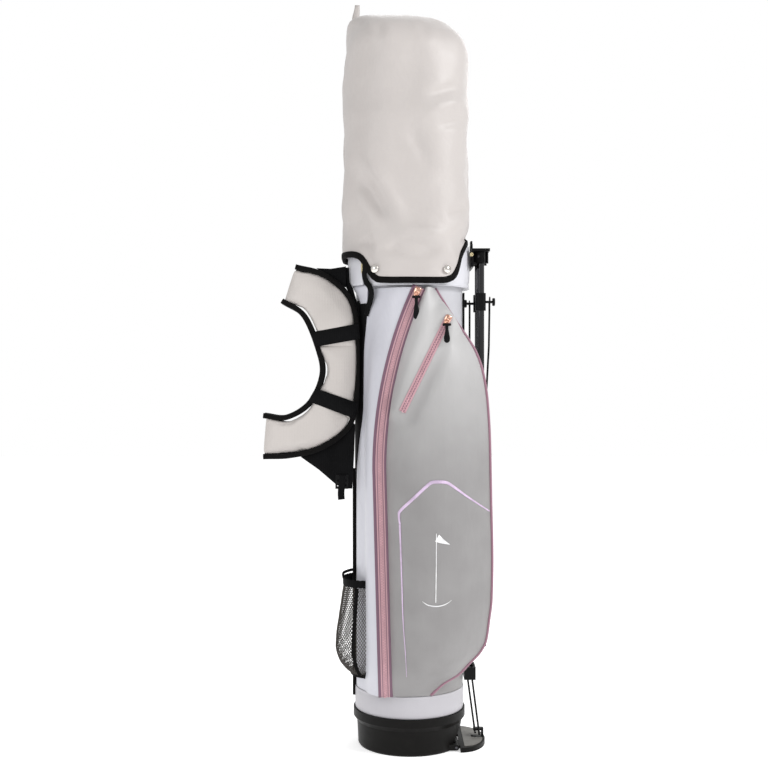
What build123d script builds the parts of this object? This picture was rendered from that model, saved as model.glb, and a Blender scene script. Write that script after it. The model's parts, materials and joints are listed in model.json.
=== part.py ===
"""Golf club set: a stand bag with its rain hood on and four clubs inside.

Millimetres. Origin at the middle of the base's underside, +Z up, +X towards the legs,
-Y towards the big apparel pocket. Rest pose: upright, legs folded, hood closed.
"""
from build123d import *
import math
import os

# ---- driving dimensions -------------------------------------------------------------------
BAG_R = 93.0            # outside of the fabric tube
BAG_WALL = 2.0
BASE_LIP_R = 97.0       # widest rim of the moulded base
BASE_R = 90.0           # near the ground
BASE_TOP_Z = 64.0
BASE_FLOOR = 6.0
BASE_CHAMFER_X = 67.0   # where the toe-side chamfer meets the ground
BASE_CHAMFER_Z = 42.0   # where it meets the base's side
BAND_TOP_Z = 102.0
CUFF_R = 106.0          # padded collar
CUFF_BOTTOM_Z = 790.0
CUFF_TOP_Z = 863.0
DIVIDER_TOP_Z = 850.0
BAR_W = 5.0             # divider bars
SKIN_GAP = 0.3          # between a soft piece and its neighbour

LEG_X = 123.0
LEG_Y = 22.0
LEG_PIVOT_Z = 845.0
LEG_R = 6.5
LEG_BOTTOM_Z = 190.0
LEG_SPLAY = math.radians(25.0)   # how far each hinge axis is turned from square
PIN_R = 2.0
RUN_FIT = 0.06
KNOB_Z = 767.0
ROD_R = 1.75
GUIDE_Z = 123.0
PLATE_PIVOT = (79.0, 7.0)        # X and Z of the foot plate's hinge pin
PLATE_HALF_W = 65.0
PLATE_OUT_X = 132.0
PLATE_T = 8.0
ROD_GUIDE_X = {-1: 108.0, 1: 101.0}   # near and far rod, where they pass the guide
ROD_END_X = {-1: 122.0, 1: 115.8}     # and at their hooked ends
ROD_END_Z = 14.0
SHANK_R = 2.2                    # stub on the leg clamp that the rod's loop turns on
KNOB_R = 7.0
LOOP_OUT = 16.0                  # how far the loop sits from the leg's centre line
LOOP_REACH = {-1: (-3.9, 7.2), 1: (-8.2, 3.8)}   # slot's ends about the stub, near and far rod

POCKET_TOP_Z = 786.0
POCKET_BOTTOM_Z = 103.0
ZIP_FACE_Y = -104.5              # land that the main zipper lies on
ZIP_HALF_W = 12.0
LOBE_Y = -85.0                   # where the pocket's outer seam runs
ZIP_TOP = (14.5, 786.0)          # the main zipper is an arc, then a straight run
ZIP_MID = (-33.0, 648.0)
ZIP_LOW = (-52.0, 480.0)
ZIP_FOOT = (-42.0, 109.0)
SHORT_ZIP_TOP = (60.0, -121.0, 730.0)
SHORT_ZIP_FOOT = (-14.0, -131.0, 580.0)

HOOD_X = (-117.0, 105.0)
HOOD_HALF_Y = 112.0
HOOD_TOP_Z = 1271.0
HOOD_WALL = 2.5
HOOD_HEM = 9.5
HOOD_CORNER = 85.0
SNAP_TURN = {-1: math.radians(19.0), 1: math.radians(29.0)}   # how far round the hood's corners the snaps sit

HARNESS_NEAR_Y = (-58.0, -38.0)
HARNESS_FAR_Y = (-30.0, -12.0)
FLOOR_PAD_Z = 17.5

# height, X of the outer seam, Y of the fullest part
POCKET_STATIONS = (
    (POCKET_BOTTOM_Z, 34, -110),
    (135, 78, -126),
    (168, 112, -138),
    (205, 128, -146),
    (250, 134, -149),
    (330, 137, -150),
    (480, 134, -149),
    (600, 129, -144),
    (650, 120, -139),
    (690, 101, -133),
    (735, 74, -122),
    (POCKET_TOP_Z, 44, -108),
)

BALL_FACE_Y = 124.0
BALL_TOP_Z = 430.0
BALL_BOTTOM_Z = 140.0
BALL_ZIP_X = -34.0

# name: X, Y of the shaft, length, grip length
CLUBS = {
    "driver": (-46.0, 46.0, 1105.0, 265.0),
    "hybrid": (46.0, 46.0, 978.0, 260.0),
    "iron_7": (56.0, -26.0, 927.0, 258.0),
    "putter": (0.0, -38.0, 874.0, 262.0),
}
HEAD_DEPTH = {"driver": 60.0, "hybrid": 40.0, "iron_7": 56.0, "putter": 26.0}
HOSEL = 38.0


# ---- helpers ------------------------------------------------------------------------------
def ring(outer, inner, low, high):
    """A round tube about the bag's axis."""
    height = high - low
    tube = Cylinder(outer, height) - Cylinder(inner, height + 1)
    return Pos(0, 0, (low + high) / 2) * tube


def disc(radius, low, high, x=0.0, y=0.0):
    """A round bar along Z."""
    return Pos(x, y, (low + high) / 2) * Cylinder(radius, high - low)


def block(x, y, z):
    """A box from its limits along each axis."""
    size = (x[1] - x[0], y[1] - y[0], z[1] - z[0])
    middle = ((x[0] + x[1]) / 2, (y[0] + y[1]) / 2, (z[0] + z[1]) / 2)
    return Pos(*middle) * Box(*size)


def slab(face, low_y, high_y):
    """An outline drawn in X and Z, thick from low_y to high_y."""
    return extrude(Plane.XZ.offset(-high_y) * face, high_y - low_y)


def polygon(*points):
    return make_face(Polyline(*points, close=True))


def bar(start, end, radius):
    """A round bar between two points."""
    a = Vector(*start)
    b = Vector(*end)
    return Plane(origin=(a + b) / 2, z_dir=b - a) * Cylinder(radius, (b - a).length)


def bent_rod(points, radii, radius):
    path = FilletPolyline(*points, radius=radii)
    start = Plane(origin=path @ 0, z_dir=path % 0)
    return sweep(start * Circle(radius), path=path)


# ---- bag ----------------------------------------------------------------------------------
def toe_wedge(inset):
    """What the toe-side chamfer of the base takes off."""
    return slab(polygon(
        (BASE_CHAMFER_X - inset, -1),
        (140, -1),
        (140, BASE_CHAMFER_Z),
        (BAG_R - inset, BASE_CHAMFER_Z),
        (BASE_CHAMFER_X - inset, 0)), -120, 120)


def make_base_cup():
    side = Polyline(
        (0, 0), (BASE_R - 3, 0), (BASE_R - 1, 3), (91, BASE_CHAMFER_Z), (BASE_LIP_R, 50),
        (BASE_LIP_R, BASE_TOP_Z), (0, BASE_TOP_Z), close=True)
    outside = revolve(Plane.XZ * make_face(side), Axis.Z) - toe_wedge(0)
    hollow = disc(83, BASE_FLOOR, 46) - toe_wedge(3.5)
    mouth = disc(BAG_R + 0.1, 46, BASE_TOP_Z + 1)
    cup = outside - hollow - mouth
    lug_x, lug_z = PLATE_PIVOT
    for y in (-56, -12, 12, 56):
        lug = block((BASE_CHAMFER_X - 4, lug_x), (y - 4, y + 4), (2, 12))
        lug += Pos(lug_x, y, lug_z) * Rot(90, 0, 0) * Cylinder(5, 8)
        cup += lug
    pin_hole = Pos(lug_x, 0, lug_z) * Rot(90, 0, 0) * Cylinder(PIN_R, 140)
    return cup - pin_hole - hollow


def make_floor_pad():
    return disc(79, BASE_FLOOR + 0.1, FLOOR_PAD_Z) - block((64, 90), (-90, 90), (0, 30))


def make_bag_shell():
    return ring(BAG_R, BAG_R - BAG_WALL, 46.2, 855)


def make_cuff():
    body = ring(CUFF_R, BAG_R + 0.1, CUFF_BOTTOM_Z, CUFF_TOP_Z)
    rims = body.edges().filter_by(GeomType.CIRCLE).filter_by(lambda e: e.radius > CUFF_R - 1)
    return fillet(rims, 4)


def divider_bars(width, low, high, reach):
    """Five wells: one bar across, one stub to the rear and two to the front."""
    bars = block((-reach, reach), (6 - width / 2, 6 + width / 2), (low, high))
    bars += block((-width / 2, width / 2), (6, reach), (low, high))
    for x in (-30, 30):
        bars += block((x - width / 2, x + width / 2), (-reach, 6), (low, high))
    return bars & disc(reach, low, high)


def make_top_divider():
    rim = ring(90.7, 84.5, DIVIDER_TOP_Z - 14, DIVIDER_TOP_Z)
    return rim + divider_bars(BAR_W, DIVIDER_TOP_Z - 14, DIVIDER_TOP_Z, 86)


def make_well_panels():
    return divider_bars(1.5, FLOOR_PAD_Z + 30, DIVIDER_TOP_Z - 14.2, 90.5)


def make_back_stay():
    """Stiff spine between the leg bracket and the rod guide."""
    return block((BAG_R + 0.4, BAG_R + 3.4), (-9, 9), (140, 784))


def make_lift_handle():
    outer = ThreePointArc((94.2, 560), (122, 630), (94.2, 700))
    inner = ThreePointArc((94.2, 690), (118, 630), (94.2, 570))
    side = make_face([outer, Line((94.2, 700), (94.2, 690)), inner, Line((94.2, 570), (94.2, 560))])
    return extrude(Plane.YZ.offset(-13) * side, 26)


# ---- pocket and zippers -------------------------------------------------------------------
def zip_circle():
    """Centre (X, Z) and radius of the main zipper's arc."""
    (ax, az), (bx, bz), (cx, cz) = ZIP_TOP, ZIP_MID, ZIP_LOW
    d = 2 * (ax * (bz - cz) + bx * (cz - az) + cx * (az - bz))
    a2, b2, c2 = ax * ax + az * az, bx * bx + bz * bz, cx * cx + cz * cz
    x = (a2 * (bz - cz) + b2 * (cz - az) + c2 * (az - bz)) / d
    z = (a2 * (cx - bx) + b2 * (ax - cx) + c2 * (bx - ax)) / d
    return x, z, math.hypot(ax - x, az - z)


ARC_X, ARC_Z, ARC_R = zip_circle()


def zip_x(z):
    """Where the main zipper runs at a height."""
    if z >= ZIP_LOW[1]:
        side = math.copysign(1, ZIP_LOW[0] - ARC_X)
        return ARC_X + side * math.sqrt(ARC_R ** 2 - (z - ARC_Z) ** 2)
    part = (ZIP_LOW[1] - z) / (ZIP_LOW[1] - ZIP_FOOT[1])
    return ZIP_LOW[0] + part * (ZIP_FOOT[0] - ZIP_LOW[0])


def zip_band(half_width, low_y, high_y, foot=0.0):
    """The strip that follows the main zipper, foot mm past its lower end."""
    ring_part = Pos(ARC_X, ARC_Z) * (
        Circle(ARC_R + half_width) - Circle(ARC_R - half_width))
    window = Pos(-30, (ZIP_TOP[1] + ZIP_LOW[1]) / 2) * Rectangle(200, ZIP_TOP[1] - ZIP_LOW[1])
    foot_x, foot_z = ZIP_FOOT[0], ZIP_FOOT[1] - foot
    straight = polygon(
        (ZIP_LOW[0] - half_width, ZIP_LOW[1]),
        (ZIP_LOW[0] + half_width, ZIP_LOW[1]),
        (foot_x + half_width, foot_z),
        (foot_x - half_width, foot_z))
    return slab(ring_part & window, low_y, high_y) + slab(straight, low_y, high_y)


def pocket_section(z, seam_x, front_y):
    land_x = zip_x(z)
    left = (-91, -20)
    land_in = (land_x - ZIP_HALF_W - 1, ZIP_FACE_Y)
    land_out = (land_x + ZIP_HALF_W + 1, ZIP_FACE_Y)
    turn = (math.atan2(left[1], left[0]) + math.atan2(land_in[1], land_in[0])) / 2
    side = (101 * math.cos(turn), 101 * math.sin(turn))
    crown = (land_out[0] + 0.45 * (seam_x - land_out[0]), front_y)
    seam = (seam_x, LOBE_Y)
    back = (seam_x - 12, -52) if seam_x > 95 else (seam_x - 5, -60)
    outline = Curve() + [
        Spline(left, side, land_in),
        Line(land_in, land_out),
        Spline(land_out, crown, seam),
        Line(seam, back),
        Line(back, (min(60, seam_x - 14), -45)),
        Line((min(60, seam_x - 14), -45), (0, -10)),
        Line((0, -10), left)]
    return Pos(0, 0, z) * make_face(outline)


def make_apparel_pocket():
    body = loft([pocket_section(*station) for station in POCKET_STATIONS], ruled=True)
    body -= disc(BAG_R + SKIN_GAP, 0, 900)
    body -= zip_band(ZIP_HALF_W + 1.0, -200, ZIP_FACE_Y, foot=20)
    return body - short_zip_space()


def make_pocket_piping(pocket):
    outer = [(x + 4.5, z) for z, x, _ in POCKET_STATIONS]
    inner = [(x - 6, z) for z, x, _ in reversed(POCKET_STATIONS)]
    cord = slab(polygon(*outer, *inner), LOBE_Y - 2.5, LOBE_Y + 2.5)
    return keep_largest(cord - pocket - disc(BAG_R + SKIN_GAP, 0, 900))


def keep_largest(shape):
    return max(shape.solids(), key=lambda solid: solid.volume)


def short_zip_plane():
    """Plane on the short zipper: local X along it downwards, local Z out of the pocket."""
    top = Vector(*SHORT_ZIP_TOP)
    run = Vector(*SHORT_ZIP_FOOT) - top
    out = Vector(0, -1, 0)
    out = out - run * (out.dot(run) / run.dot(run))
    return Plane(origin=top, x_dir=run, z_dir=out), run.length


def short_zip_space():
    """Channel in the pocket's face that the short zipper lies in."""
    plane, length = short_zip_plane()
    return plane * block((-16, length + 42), (-7, 7), (0, 60))


def make_main_zip_tape():
    return zip_band(ZIP_HALF_W, ZIP_FACE_Y - 1.6, ZIP_FACE_Y - 0.1)


def make_short_zip_tape():
    plane, length = short_zip_plane()
    return plane * block((-10, length + 10), (-6, 6), (0.1, 1.6))


def slider_body():
    """Zip slider, local X down the zipper, local Z outwards, on teeth at Z 0."""
    body = polygon_prism([(-9, -5.5), (3, -5.5), (9, -3.2), (9, 3.2), (3, 5.5), (-9, 5.5)], 0.4, 3.4)
    bridge = block((-6, 1.9), (-1.4, 1.4), (3.4, 7.4)) - block((-4.4, -0.4), (-2, 2), (3.6, 6.2))
    return body + bridge


def polygon_prism(points, low, high):
    return Pos(0, 0, low) * extrude(polygon(*points), high - low)


def puller_body(length):
    """Moulded pull with a wide cross-bar, hanging from its eye at local X 0."""
    eye = block((-1.8, 6), (-4.2, 4.2), (4.1, 5.7)) - block((-1.0, 4.0), (-2.2, 2.2), (3, 7))
    grip = block((6, length), (-4.4, 4.4), (3.9, 7.4))
    cross = block((7, 11), (-6.2, 6.2), (3.9, 7.4))
    return eye + grip + cross


def main_zip_plane():
    """Plane at the main slider's rest place, local X down the arc, local Z outwards."""
    z = ZIP_TOP[1] - 9
    x = zip_x(z)
    radial = Vector(x - ARC_X, 0, z - ARC_Z).normalized()
    down = Vector(0, 1, 0).cross(radial)
    if down.Z > 0:
        down = down * -1
    return Plane(origin=(x, ZIP_FACE_Y - 3.0, z), x_dir=down, z_dir=(0, -1, 0))


def short_slider_plane():
    plane, _ = short_zip_plane()
    return plane * Pos(0, 0, 1.6)


def ball_slider_plane():
    return Plane(origin=(BALL_ZIP_X, BALL_FACE_Y + 3.0, BALL_TOP_Z - 24), x_dir=(0, 0, -1), z_dir=(0, 1, 0))


# ---- rear ball pocket ---------------------------------------------------------------------
def make_ball_pocket():
    front = RectangleRounded(132, BALL_TOP_Z - BALL_BOTTOM_Z, 34)
    middle = (BALL_TOP_Z + BALL_BOTTOM_Z) / 2
    body = slab(Pos(0, middle) * front, 40, BALL_FACE_Y)
    return keep_largest(body - disc(BAG_R + SKIN_GAP, 0, 900))


def make_ball_zip_tape():
    return block((BALL_ZIP_X - 9, BALL_ZIP_X + 9), (BALL_FACE_Y + 0.1, BALL_FACE_Y + 2.0),
                 (BALL_BOTTOM_Z + 30, BALL_TOP_Z - 12))


# ---- bottle pocket ------------------------------------------------------------------------
def net_section(z, middle_x, half_x, half_y):
    return Pos(middle_x, -12, z) * Ellipse(half_x, half_y)


def net_body(inset):
    lower = loft([
        net_section(112, -80, 38 - inset, 46 - inset),
        net_section(165, -82, 46 - inset, 52 - inset),
        net_section(277, -79, 35 - inset, 48 - inset)])
    return lower


def make_bottle_net():
    cavity = net_body(1.5) - disc(200, 100, 114)
    return keep_largest(net_body(0) - cavity - disc(BAG_R + SKIN_GAP, 0, 400))


def make_bottle_elastic():
    hoop = Ellipse(35.4, 48.4) - Ellipse(33, 46)
    return keep_largest(Pos(-79, -12, 277.2) * extrude(hoop, 11) - disc(BAG_R + SKIN_GAP, 0, 400))


def make_bottle_loop():
    loop = block((-113, -111), (-20, -4), (288.4, 302)) - block((-114, -110), (-16, -8), (288, 298))
    return loop


# ---- legs ---------------------------------------------------------------------------------
def hinge_axis(side):
    """Unit vector of a leg's hinge; side is -1 for the near leg and 1 for the far one."""
    return Vector(side * math.sin(LEG_SPLAY), -math.cos(LEG_SPLAY), 0)


def leg_frame(side):
    """Plane at a leg's pivot: local Z along the hinge axis, local Y up."""
    axis = hinge_axis(side)
    return Plane(origin=(LEG_X, side * LEG_Y, LEG_PIVOT_Z), x_dir=axis.cross(Vector(0, 0, 1)) * -1, z_dir=axis)


def make_leg_bracket():
    body = block((CUFF_R + 0.4, CUFF_R + 4), (-40, 40), (826, 858))
    body += block((CUFF_R + 0.4, 138), (-40, 40), (853.4, 858))
    for side in (-1, 1):
        for offset in (-8.2, 8.2):
            body += leg_frame(side) * Pos(0, 0, offset) * block((-14, 11), (-11, 10), (-1.6, 1.6))
    body &= block((CUFF_R + 0.4, 150), (-60, 60), (800, 900))
    for side in (-1, 1):
        body -= leg_frame(side) * Cylinder(PIN_R, 40)
    return body


def make_bracket_hook():
    """Upright tab behind the bracket that the hood's hem tucks under."""
    return block((107, 110), (-18, 18), (857, 868)) + block((107, 110), (-10, 10), (867, 874))


def make_leg_pins():
    return [leg_frame(side) * Cylinder(PIN_R, 19.4) for side in (-1, 1)]


def make_leg_tube(side):
    tube = disc(LEG_R, LEG_BOTTOM_Z, LEG_PIVOT_Z - 12, LEG_X, side * LEG_Y)
    tube -= disc(LEG_R - 1.0, LEG_BOTTOM_Z - 1, LEG_PIVOT_Z - 13, LEG_X, side * LEG_Y)
    return tube


def make_leg_eye(side):
    """Moulded fitting between the tube and the pivot pin."""
    eye = leg_frame(side) * Cylinder(7, 12)
    neck = leg_frame(side) * block((-5.5, 5.5), (-11.9, 0), (-5.5, 5.5))
    return eye + neck - leg_frame(side) * Cylinder(PIN_R + RUN_FIT, 40)


def make_leg_foot(side):
    """Rubber tip, splayed a little so it meets the ground flat when the leg is out."""
    foot = disc(8.6, LEG_BOTTOM_Z - 12, LEG_BOTTOM_Z + 22, LEG_X, side * LEG_Y)
    foot += Pos(LEG_X, side * LEG_Y, LEG_BOTTOM_Z - 14) * Cylinder(10, 8)
    return foot - disc(LEG_R + 0.02, LEG_BOTTOM_Z, LEG_BOTTOM_Z + 23, LEG_X, side * LEG_Y)


def make_leg_clamp(side):
    """Clamp block with the pivot shank that the push rod's loop goes round."""
    y = side * LEG_Y
    clamp = block((LEG_X - 9, LEG_X + 9), (y - 9.5, y + 9.5), (KNOB_Z - 15, KNOB_Z + 15))
    clamp = fillet(clamp.edges().filter_by(Axis.Z), 6)
    clamp -= disc(LEG_R + 0.02, KNOB_Z - 20, KNOB_Z + 20, LEG_X, y)
    out = -side
    shank = bar((LEG_X + out * 9, y, KNOB_Z), (LEG_X + out * 21, y, KNOB_Z), SHANK_R)
    head = bar((LEG_X + out * 20.6, y, KNOB_Z), (LEG_X + out * 25, y, KNOB_Z), KNOB_R)
    head = fillet(head.edges().filter_by(GeomType.CIRCLE), 1.4)
    return clamp + shank + head


def make_push_rod(side):
    """Push rod with a slotted loop on top and a hooked end under the plate's clip."""
    loop_x = LEG_X - side * LOOP_OUT
    y = side * LEG_Y
    low, high = LOOP_REACH[side]
    inner, outer = high - low, high - low + 4
    link = Pos(loop_x, y, KNOB_Z + (high + low) / 2) * Rot(0, 90, 0) * extrude(
        SlotOverall(outer, 13.0, rotation=0) - SlotOverall(inner, 9.0, rotation=0), 0.9, both=True)
    edge = side * (LEG_Y - 5.9)
    path = [
        (loop_x, edge, KNOB_Z + 1),
        (loop_x, edge, KNOB_Z - 18),
        (loop_x - 0.5, side * 11, 690),
        (ROD_GUIDE_X[side], side * 10, GUIDE_Z),
        (ROD_END_X[side], side * 10, ROD_END_Z),
        (ROD_END_X[side], side * 3.7, ROD_END_Z)]
    return link + bent_rod(path, [30, 60, 60, 3], ROD_R)


def make_rod_guide():
    body = block((BAG_R + 2.2, 115), (-20, 20), (112, 134))
    body = body - block((97.2, 112.8), (-14.5, 14.5), (110, 136))
    return body


def make_foot_plate():
    outline = Pos(PLATE_PIVOT[0] + 7, 0) * Ellipse(PLATE_OUT_X - PLATE_PIVOT[0] - 7, PLATE_HALF_W)
    half = outline & Pos(150 + PLATE_PIVOT[0] + 7, 0) * Rectangle(300, 300)
    plate = extrude(half, PLATE_T)
    pivot_x, pivot_z = PLATE_PIVOT
    for y in (-34, 34):
        knuckle = Pos(pivot_x, y, pivot_z) * Rot(90, 0, 0) * Cylinder(4.6, 34)
        knuckle += block((pivot_x, pivot_x + 9), (y - 17, y + 17), (3, 8))
        plate += knuckle
    bore = Pos(pivot_x, 0, pivot_z) * Rot(90, 0, 0) * Cylinder(PIN_R + RUN_FIT, 140)
    return plate - bore


def make_plate_tread():
    outline = Pos(PLATE_PIVOT[0] + 14, 0) * Ellipse(PLATE_OUT_X - PLATE_PIVOT[0] - 18, PLATE_HALF_W - 9)
    half = outline & Pos(150 + PLATE_PIVOT[0] + 14, 0) * Rectangle(300, 300)
    tread = Pos(0, 0, PLATE_T) * extrude(half, 1.4)
    return tread - block((108, 140), (-7, 7), (0, 30))


def make_plate_clip():
    wall = block((126, 129.5), (-5, 5), (PLATE_T, 24))
    roof = block((112, 129.5), (-5, 5), (20.2, 24))
    foot = block((112, 129.5), (-5, 5), (PLATE_T, PLATE_T + 1.4))
    return wall + roof + foot


def make_plate_pin():
    return Pos(PLATE_PIVOT[0], 0, PLATE_PIVOT[1]) * Rot(90, 0, 0) * Cylinder(PIN_R, 122)


# ---- hood ---------------------------------------------------------------------------------
def hood_block(inset):
    """Hood volume, inset mm inside the outer skin."""
    low_x, high_x = HOOD_X[0] + inset, HOOD_X[1] - inset
    top = HOOD_TOP_Z - inset
    outline = Curve() + [
        Polyline((high_x, 700), (low_x, 700), (low_x, top - 36)),
        ThreePointArc((low_x, top - 36), (low_x + 9, top - 17), (low_x + 30, top - 7)),
        ThreePointArc((low_x + 30, top - 7), (-38, top), (high_x - 92, top - 5)),
        ThreePointArc((high_x - 92, top - 5), (high_x - 27, top - 30), (high_x, top - 98)),
        Line((high_x, top - 98), (high_x, 700))]
    front = slab(make_face(outline), -150, 150)
    half = HOOD_HALF_Y - inset
    side = Curve() + [
        Polyline((half, 700), (-half, 700), (-half, top - 60)),
        ThreePointArc((-half, top - 60), (-half + 24, top - 18), (-half + 70, top)),
        Line((-half + 70, top), (half - 70, top)),
        ThreePointArc((half - 70, top), (half - 24, top - 18), (half, top - 60)),
        Line((half, top - 60), (half, 700))]
    depth = extrude(Plane.YZ.offset(-200) * make_face(side), 400)
    middle_x = (HOOD_X[0] + HOOD_X[1]) / 2
    plan = RectangleRounded(high_x - low_x, 2 * half, HOOD_CORNER - inset)
    column = Pos(middle_x, 0, 690) * extrude(plan, 600)
    return front & depth & column


def below_hem(rise):
    """Space under the hood's hem, raised by rise: low flap at the front, high at the sides."""
    outline = Curve() + [
        Polyline((-140, 600), (-140, 840 + rise), (-92, 838 + rise)),
        ThreePointArc((-92, 838 + rise), (-76, 826 + rise), (-66, 806 + rise)),
        Polyline((-66, 806 + rise), (-56, 793 + rise), (60, 793 + rise), (72, 812 + rise)),
        ThreePointArc((72, 812 + rise), (84, 850 + rise), (108, 872 + rise)),
        Polyline((108, 872 + rise), (140, 878 + rise), (140, 600), (-140, 600))]
    return slab(make_face(outline), -200, 200)


def make_hood_shell():
    shell = hood_block(0) - hood_block(HOOD_WALL)
    return keep_largest(shell - below_hem(HOOD_HEM))


def make_hood_binding():
    skin = hood_block(0) - hood_block(HOOD_WALL)
    return keep_largest((skin - below_hem(0)) & below_hem(HOOD_HEM - 0.02))


def make_hood_snaps():
    middle_x = (HOOD_X[0] + HOOD_X[1]) / 2
    straight = (HOOD_X[1] - HOOD_X[0]) / 2 - HOOD_CORNER
    snaps = []
    for side in (-1, 1):
        centre = Vector(middle_x + side * straight, HOOD_CORNER - HOOD_HALF_Y, 816)
        out = Vector(side * math.sin(SNAP_TURN[side]), -math.cos(SNAP_TURN[side]), 0)
        snaps.append(Plane(origin=centre + out * (HOOD_CORNER + 1.4), z_dir=out) * Cylinder(6, 2.2))
    return snaps


def make_hood_tab():
    return block((-97, -84), (-1, 1), (1262, 1288)) - hood_block(-0.1)


# ---- harness ------------------------------------------------------------------------------
def harness_outline():
    """The hanging double shoulder yoke, seen from the front, arms pointing away from the bag."""
    outer = Spline(
        (-195, 825), (-146, 811), (-103, 770), (-90, 700), (-90, 625), (-104, 556),
        (-150, 517), (-203, 503), (-250, 501))
    inner = Spline(
        (-250, 571), (-211, 568), (-171, 593), (-150, 640), (-156, 683), (-181, 742), (-218, 767))
    ends = [Line((-250, 501), (-250, 571)), Line((-218, 767), (-195, 825))]
    return make_face(Curve() + [outer, inner] + ends)


def band_zone(upper):
    if upper:
        return polygon((-190, 716), (-190, 690), (-60, 704), (-60, 730))
    return polygon((-190, 604), (-190, 580), (-60, 574), (-60, 600))


def harness_layers(face):
    near = slab(face, *HARNESS_NEAR_Y)
    far = slab(face & Pos(-260, 650) * Rectangle(300, 500), *HARNESS_FAR_Y)
    return near, far


def make_upper_pad():
    zone = polygon((-300, 900), (-300, 700), (-190, 716.2), (-60, 730.2), (-60, 900))
    near, far = harness_layers(harness_outline() & zone)
    fold_zone = polygon((-218, 767), (-206, 762), (-183, 820), (-195, 825))
    fold = slab(fold_zone & harness_outline(), HARNESS_NEAR_Y[0], HARNESS_FAR_Y[1])
    return near + far + fold


def make_lower_pad():
    zone = polygon((-300, 400), (-300, 590), (-190, 579.8), (-60, 573.8), (-60, 400))
    near, far = harness_layers(harness_outline() & zone)
    fold_zone = polygon((-250, 500), (-238, 500), (-238, 572), (-250, 572))
    fold = slab(fold_zone & harness_outline(), HARNESS_NEAR_Y[0], HARNESS_FAR_Y[1])
    return near + far + fold


def make_middle_pads():
    zone = polygon((-190, 689.8), (-190, 604.2), (-60, 600.2), (-60, 703.8))
    near, far = harness_layers(harness_outline() & zone)
    return [near, far]


def make_cross_bands():
    bands = []
    for upper in (True, False):
        near, far = harness_layers(harness_outline() & band_zone(upper))
        bands += [near, far]
    return bands


def make_top_gusset():
    return slab(polygon((-160, 823), (-109, 826), (-109, 790), (-122, 795)), -49.5, -46.5) - upper_space()


def upper_space():
    """Room taken by the pads, which the gussets butt against."""
    return slab(harness_outline(), HARNESS_NEAR_Y[0] - 1, HARNESS_NEAR_Y[1] + 1)


def make_bottom_gusset():
    return keep_largest(slab(polygon(
        (-186, 510), (-186, 500), (-124, 470), (-112, 470), (-100, 545)), -49.5, -46.5) - upper_space())


def make_ladder_buckle():
    frame = block((-127, -105), (-51, -45), (446, 469.8))
    for z in (450, 458):
        frame -= block((-124, -108), (-60, -40), (z, z + 4))
    return frame


def make_tail_strap():
    return block((-122, -110), (-52.6, -51.2), (428, 470))


# ---- clubs --------------------------------------------------------------------------------
def make_grip(name):
    x, y, _, length = CLUBS[name]
    low = FLOOR_PAD_Z + 0.5
    cap = disc(13.0, low, low + 3, x, y)
    sleeve = Pos(x, y, low + 3 + (length - 3) / 2) * Cone(12.6, 9.4, length - 3)
    hole = disc(6.3, low + 12, low + length + 1, x, y)
    return cap + sleeve - hole


def make_shaft(name):
    x, y, length, _ = CLUBS[name]
    low = FLOOR_PAD_Z + 12.6
    high = FLOOR_PAD_Z + 0.5 + length - HEAD_DEPTH[name] - HOSEL * 0.2
    middle = Pos(x, y, (low + high) / 2)
    return middle * Cone(6.25, 4.4, high - low) - middle * Cone(5.25, 3.4, high - low)


def hosel(name, into=4):
    x, y, length, _ = CLUBS[name]
    top = FLOOR_PAD_Z + 0.5 + length - HEAD_DEPTH[name]
    tube = disc(7.0, top - HOSEL, top + into, x, y)
    low, high = FLOOR_PAD_Z + 12.6, top - HOSEL * 0.2
    bore = Pos(x, y, (low + high) / 2) * Cone(6.3, 4.45, high - low)
    return tube, bore, top


def make_wood_head(name, reach, size):
    """A rounded wood or hybrid head with a flat face, its toe reaching off to one side."""
    x, y, _, _ = CLUBS[name]
    tube, bore, low = hosel(name, into=20)
    half_x, half_y = size
    half_z = HEAD_DEPTH[name] / 2
    middle = (x + reach[0], y + reach[1], low + half_z)
    shell = Pos(middle[0], middle[1], low) * extrude(Ellipse(half_x, half_y), 2 * half_z)
    crown_r = min(half_z * 1.1, 0.85 * half_y ** 2 / half_x)
    shell = fillet(shell.edges().group_by(Axis.Z)[0], crown_r)
    shell = fillet(shell.edges().group_by(Axis.Z)[-1], half_z * 0.5)
    face_y = middle[1] + half_y * 0.72
    shell -= block((middle[0] - 90, middle[0] + 90), (face_y, face_y + 60), (low - 5, low + 90))
    return shell + tube - bore


def make_iron_head(name):
    """A blade with its toe to the front and its sole on top."""
    x, y, _, _ = CLUBS[name]
    tube, bore, low = hosel(name)
    depth = HEAD_DEPTH[name]
    outline = Polyline(
        (y + 7, low - 6), (y + 8, low + depth * 0.55), (y - 4, low + depth * 0.9), (y - 30, low + depth),
        (y - 48, low + depth * 0.9), (y - 58, low + depth * 0.55), (y - 56, low + depth * 0.1),
        (y - 46, low), (y - 7, low + 16), (y - 7, low - 6), close=True)
    side = math.copysign(1, x)
    blade = extrude(Plane.YZ.offset(x - 3.5) * make_face(outline), 7)
    sole = extrude(Plane.YZ.offset(x - 8.5) * make_face(outline), 17)
    sole &= block((x - 20, x + 20), (y - 80, y + 20), (low + depth * 0.72, low + depth + 1))
    cavity = block((x + side * 1.0, x + side * 4.0) if side > 0 else (x - 4.0, x - 1.0),
                   (y - 46, y - 14), (low + depth * 0.25, low + depth * 0.66))
    return blade + sole + tube - cavity - bore


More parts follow.
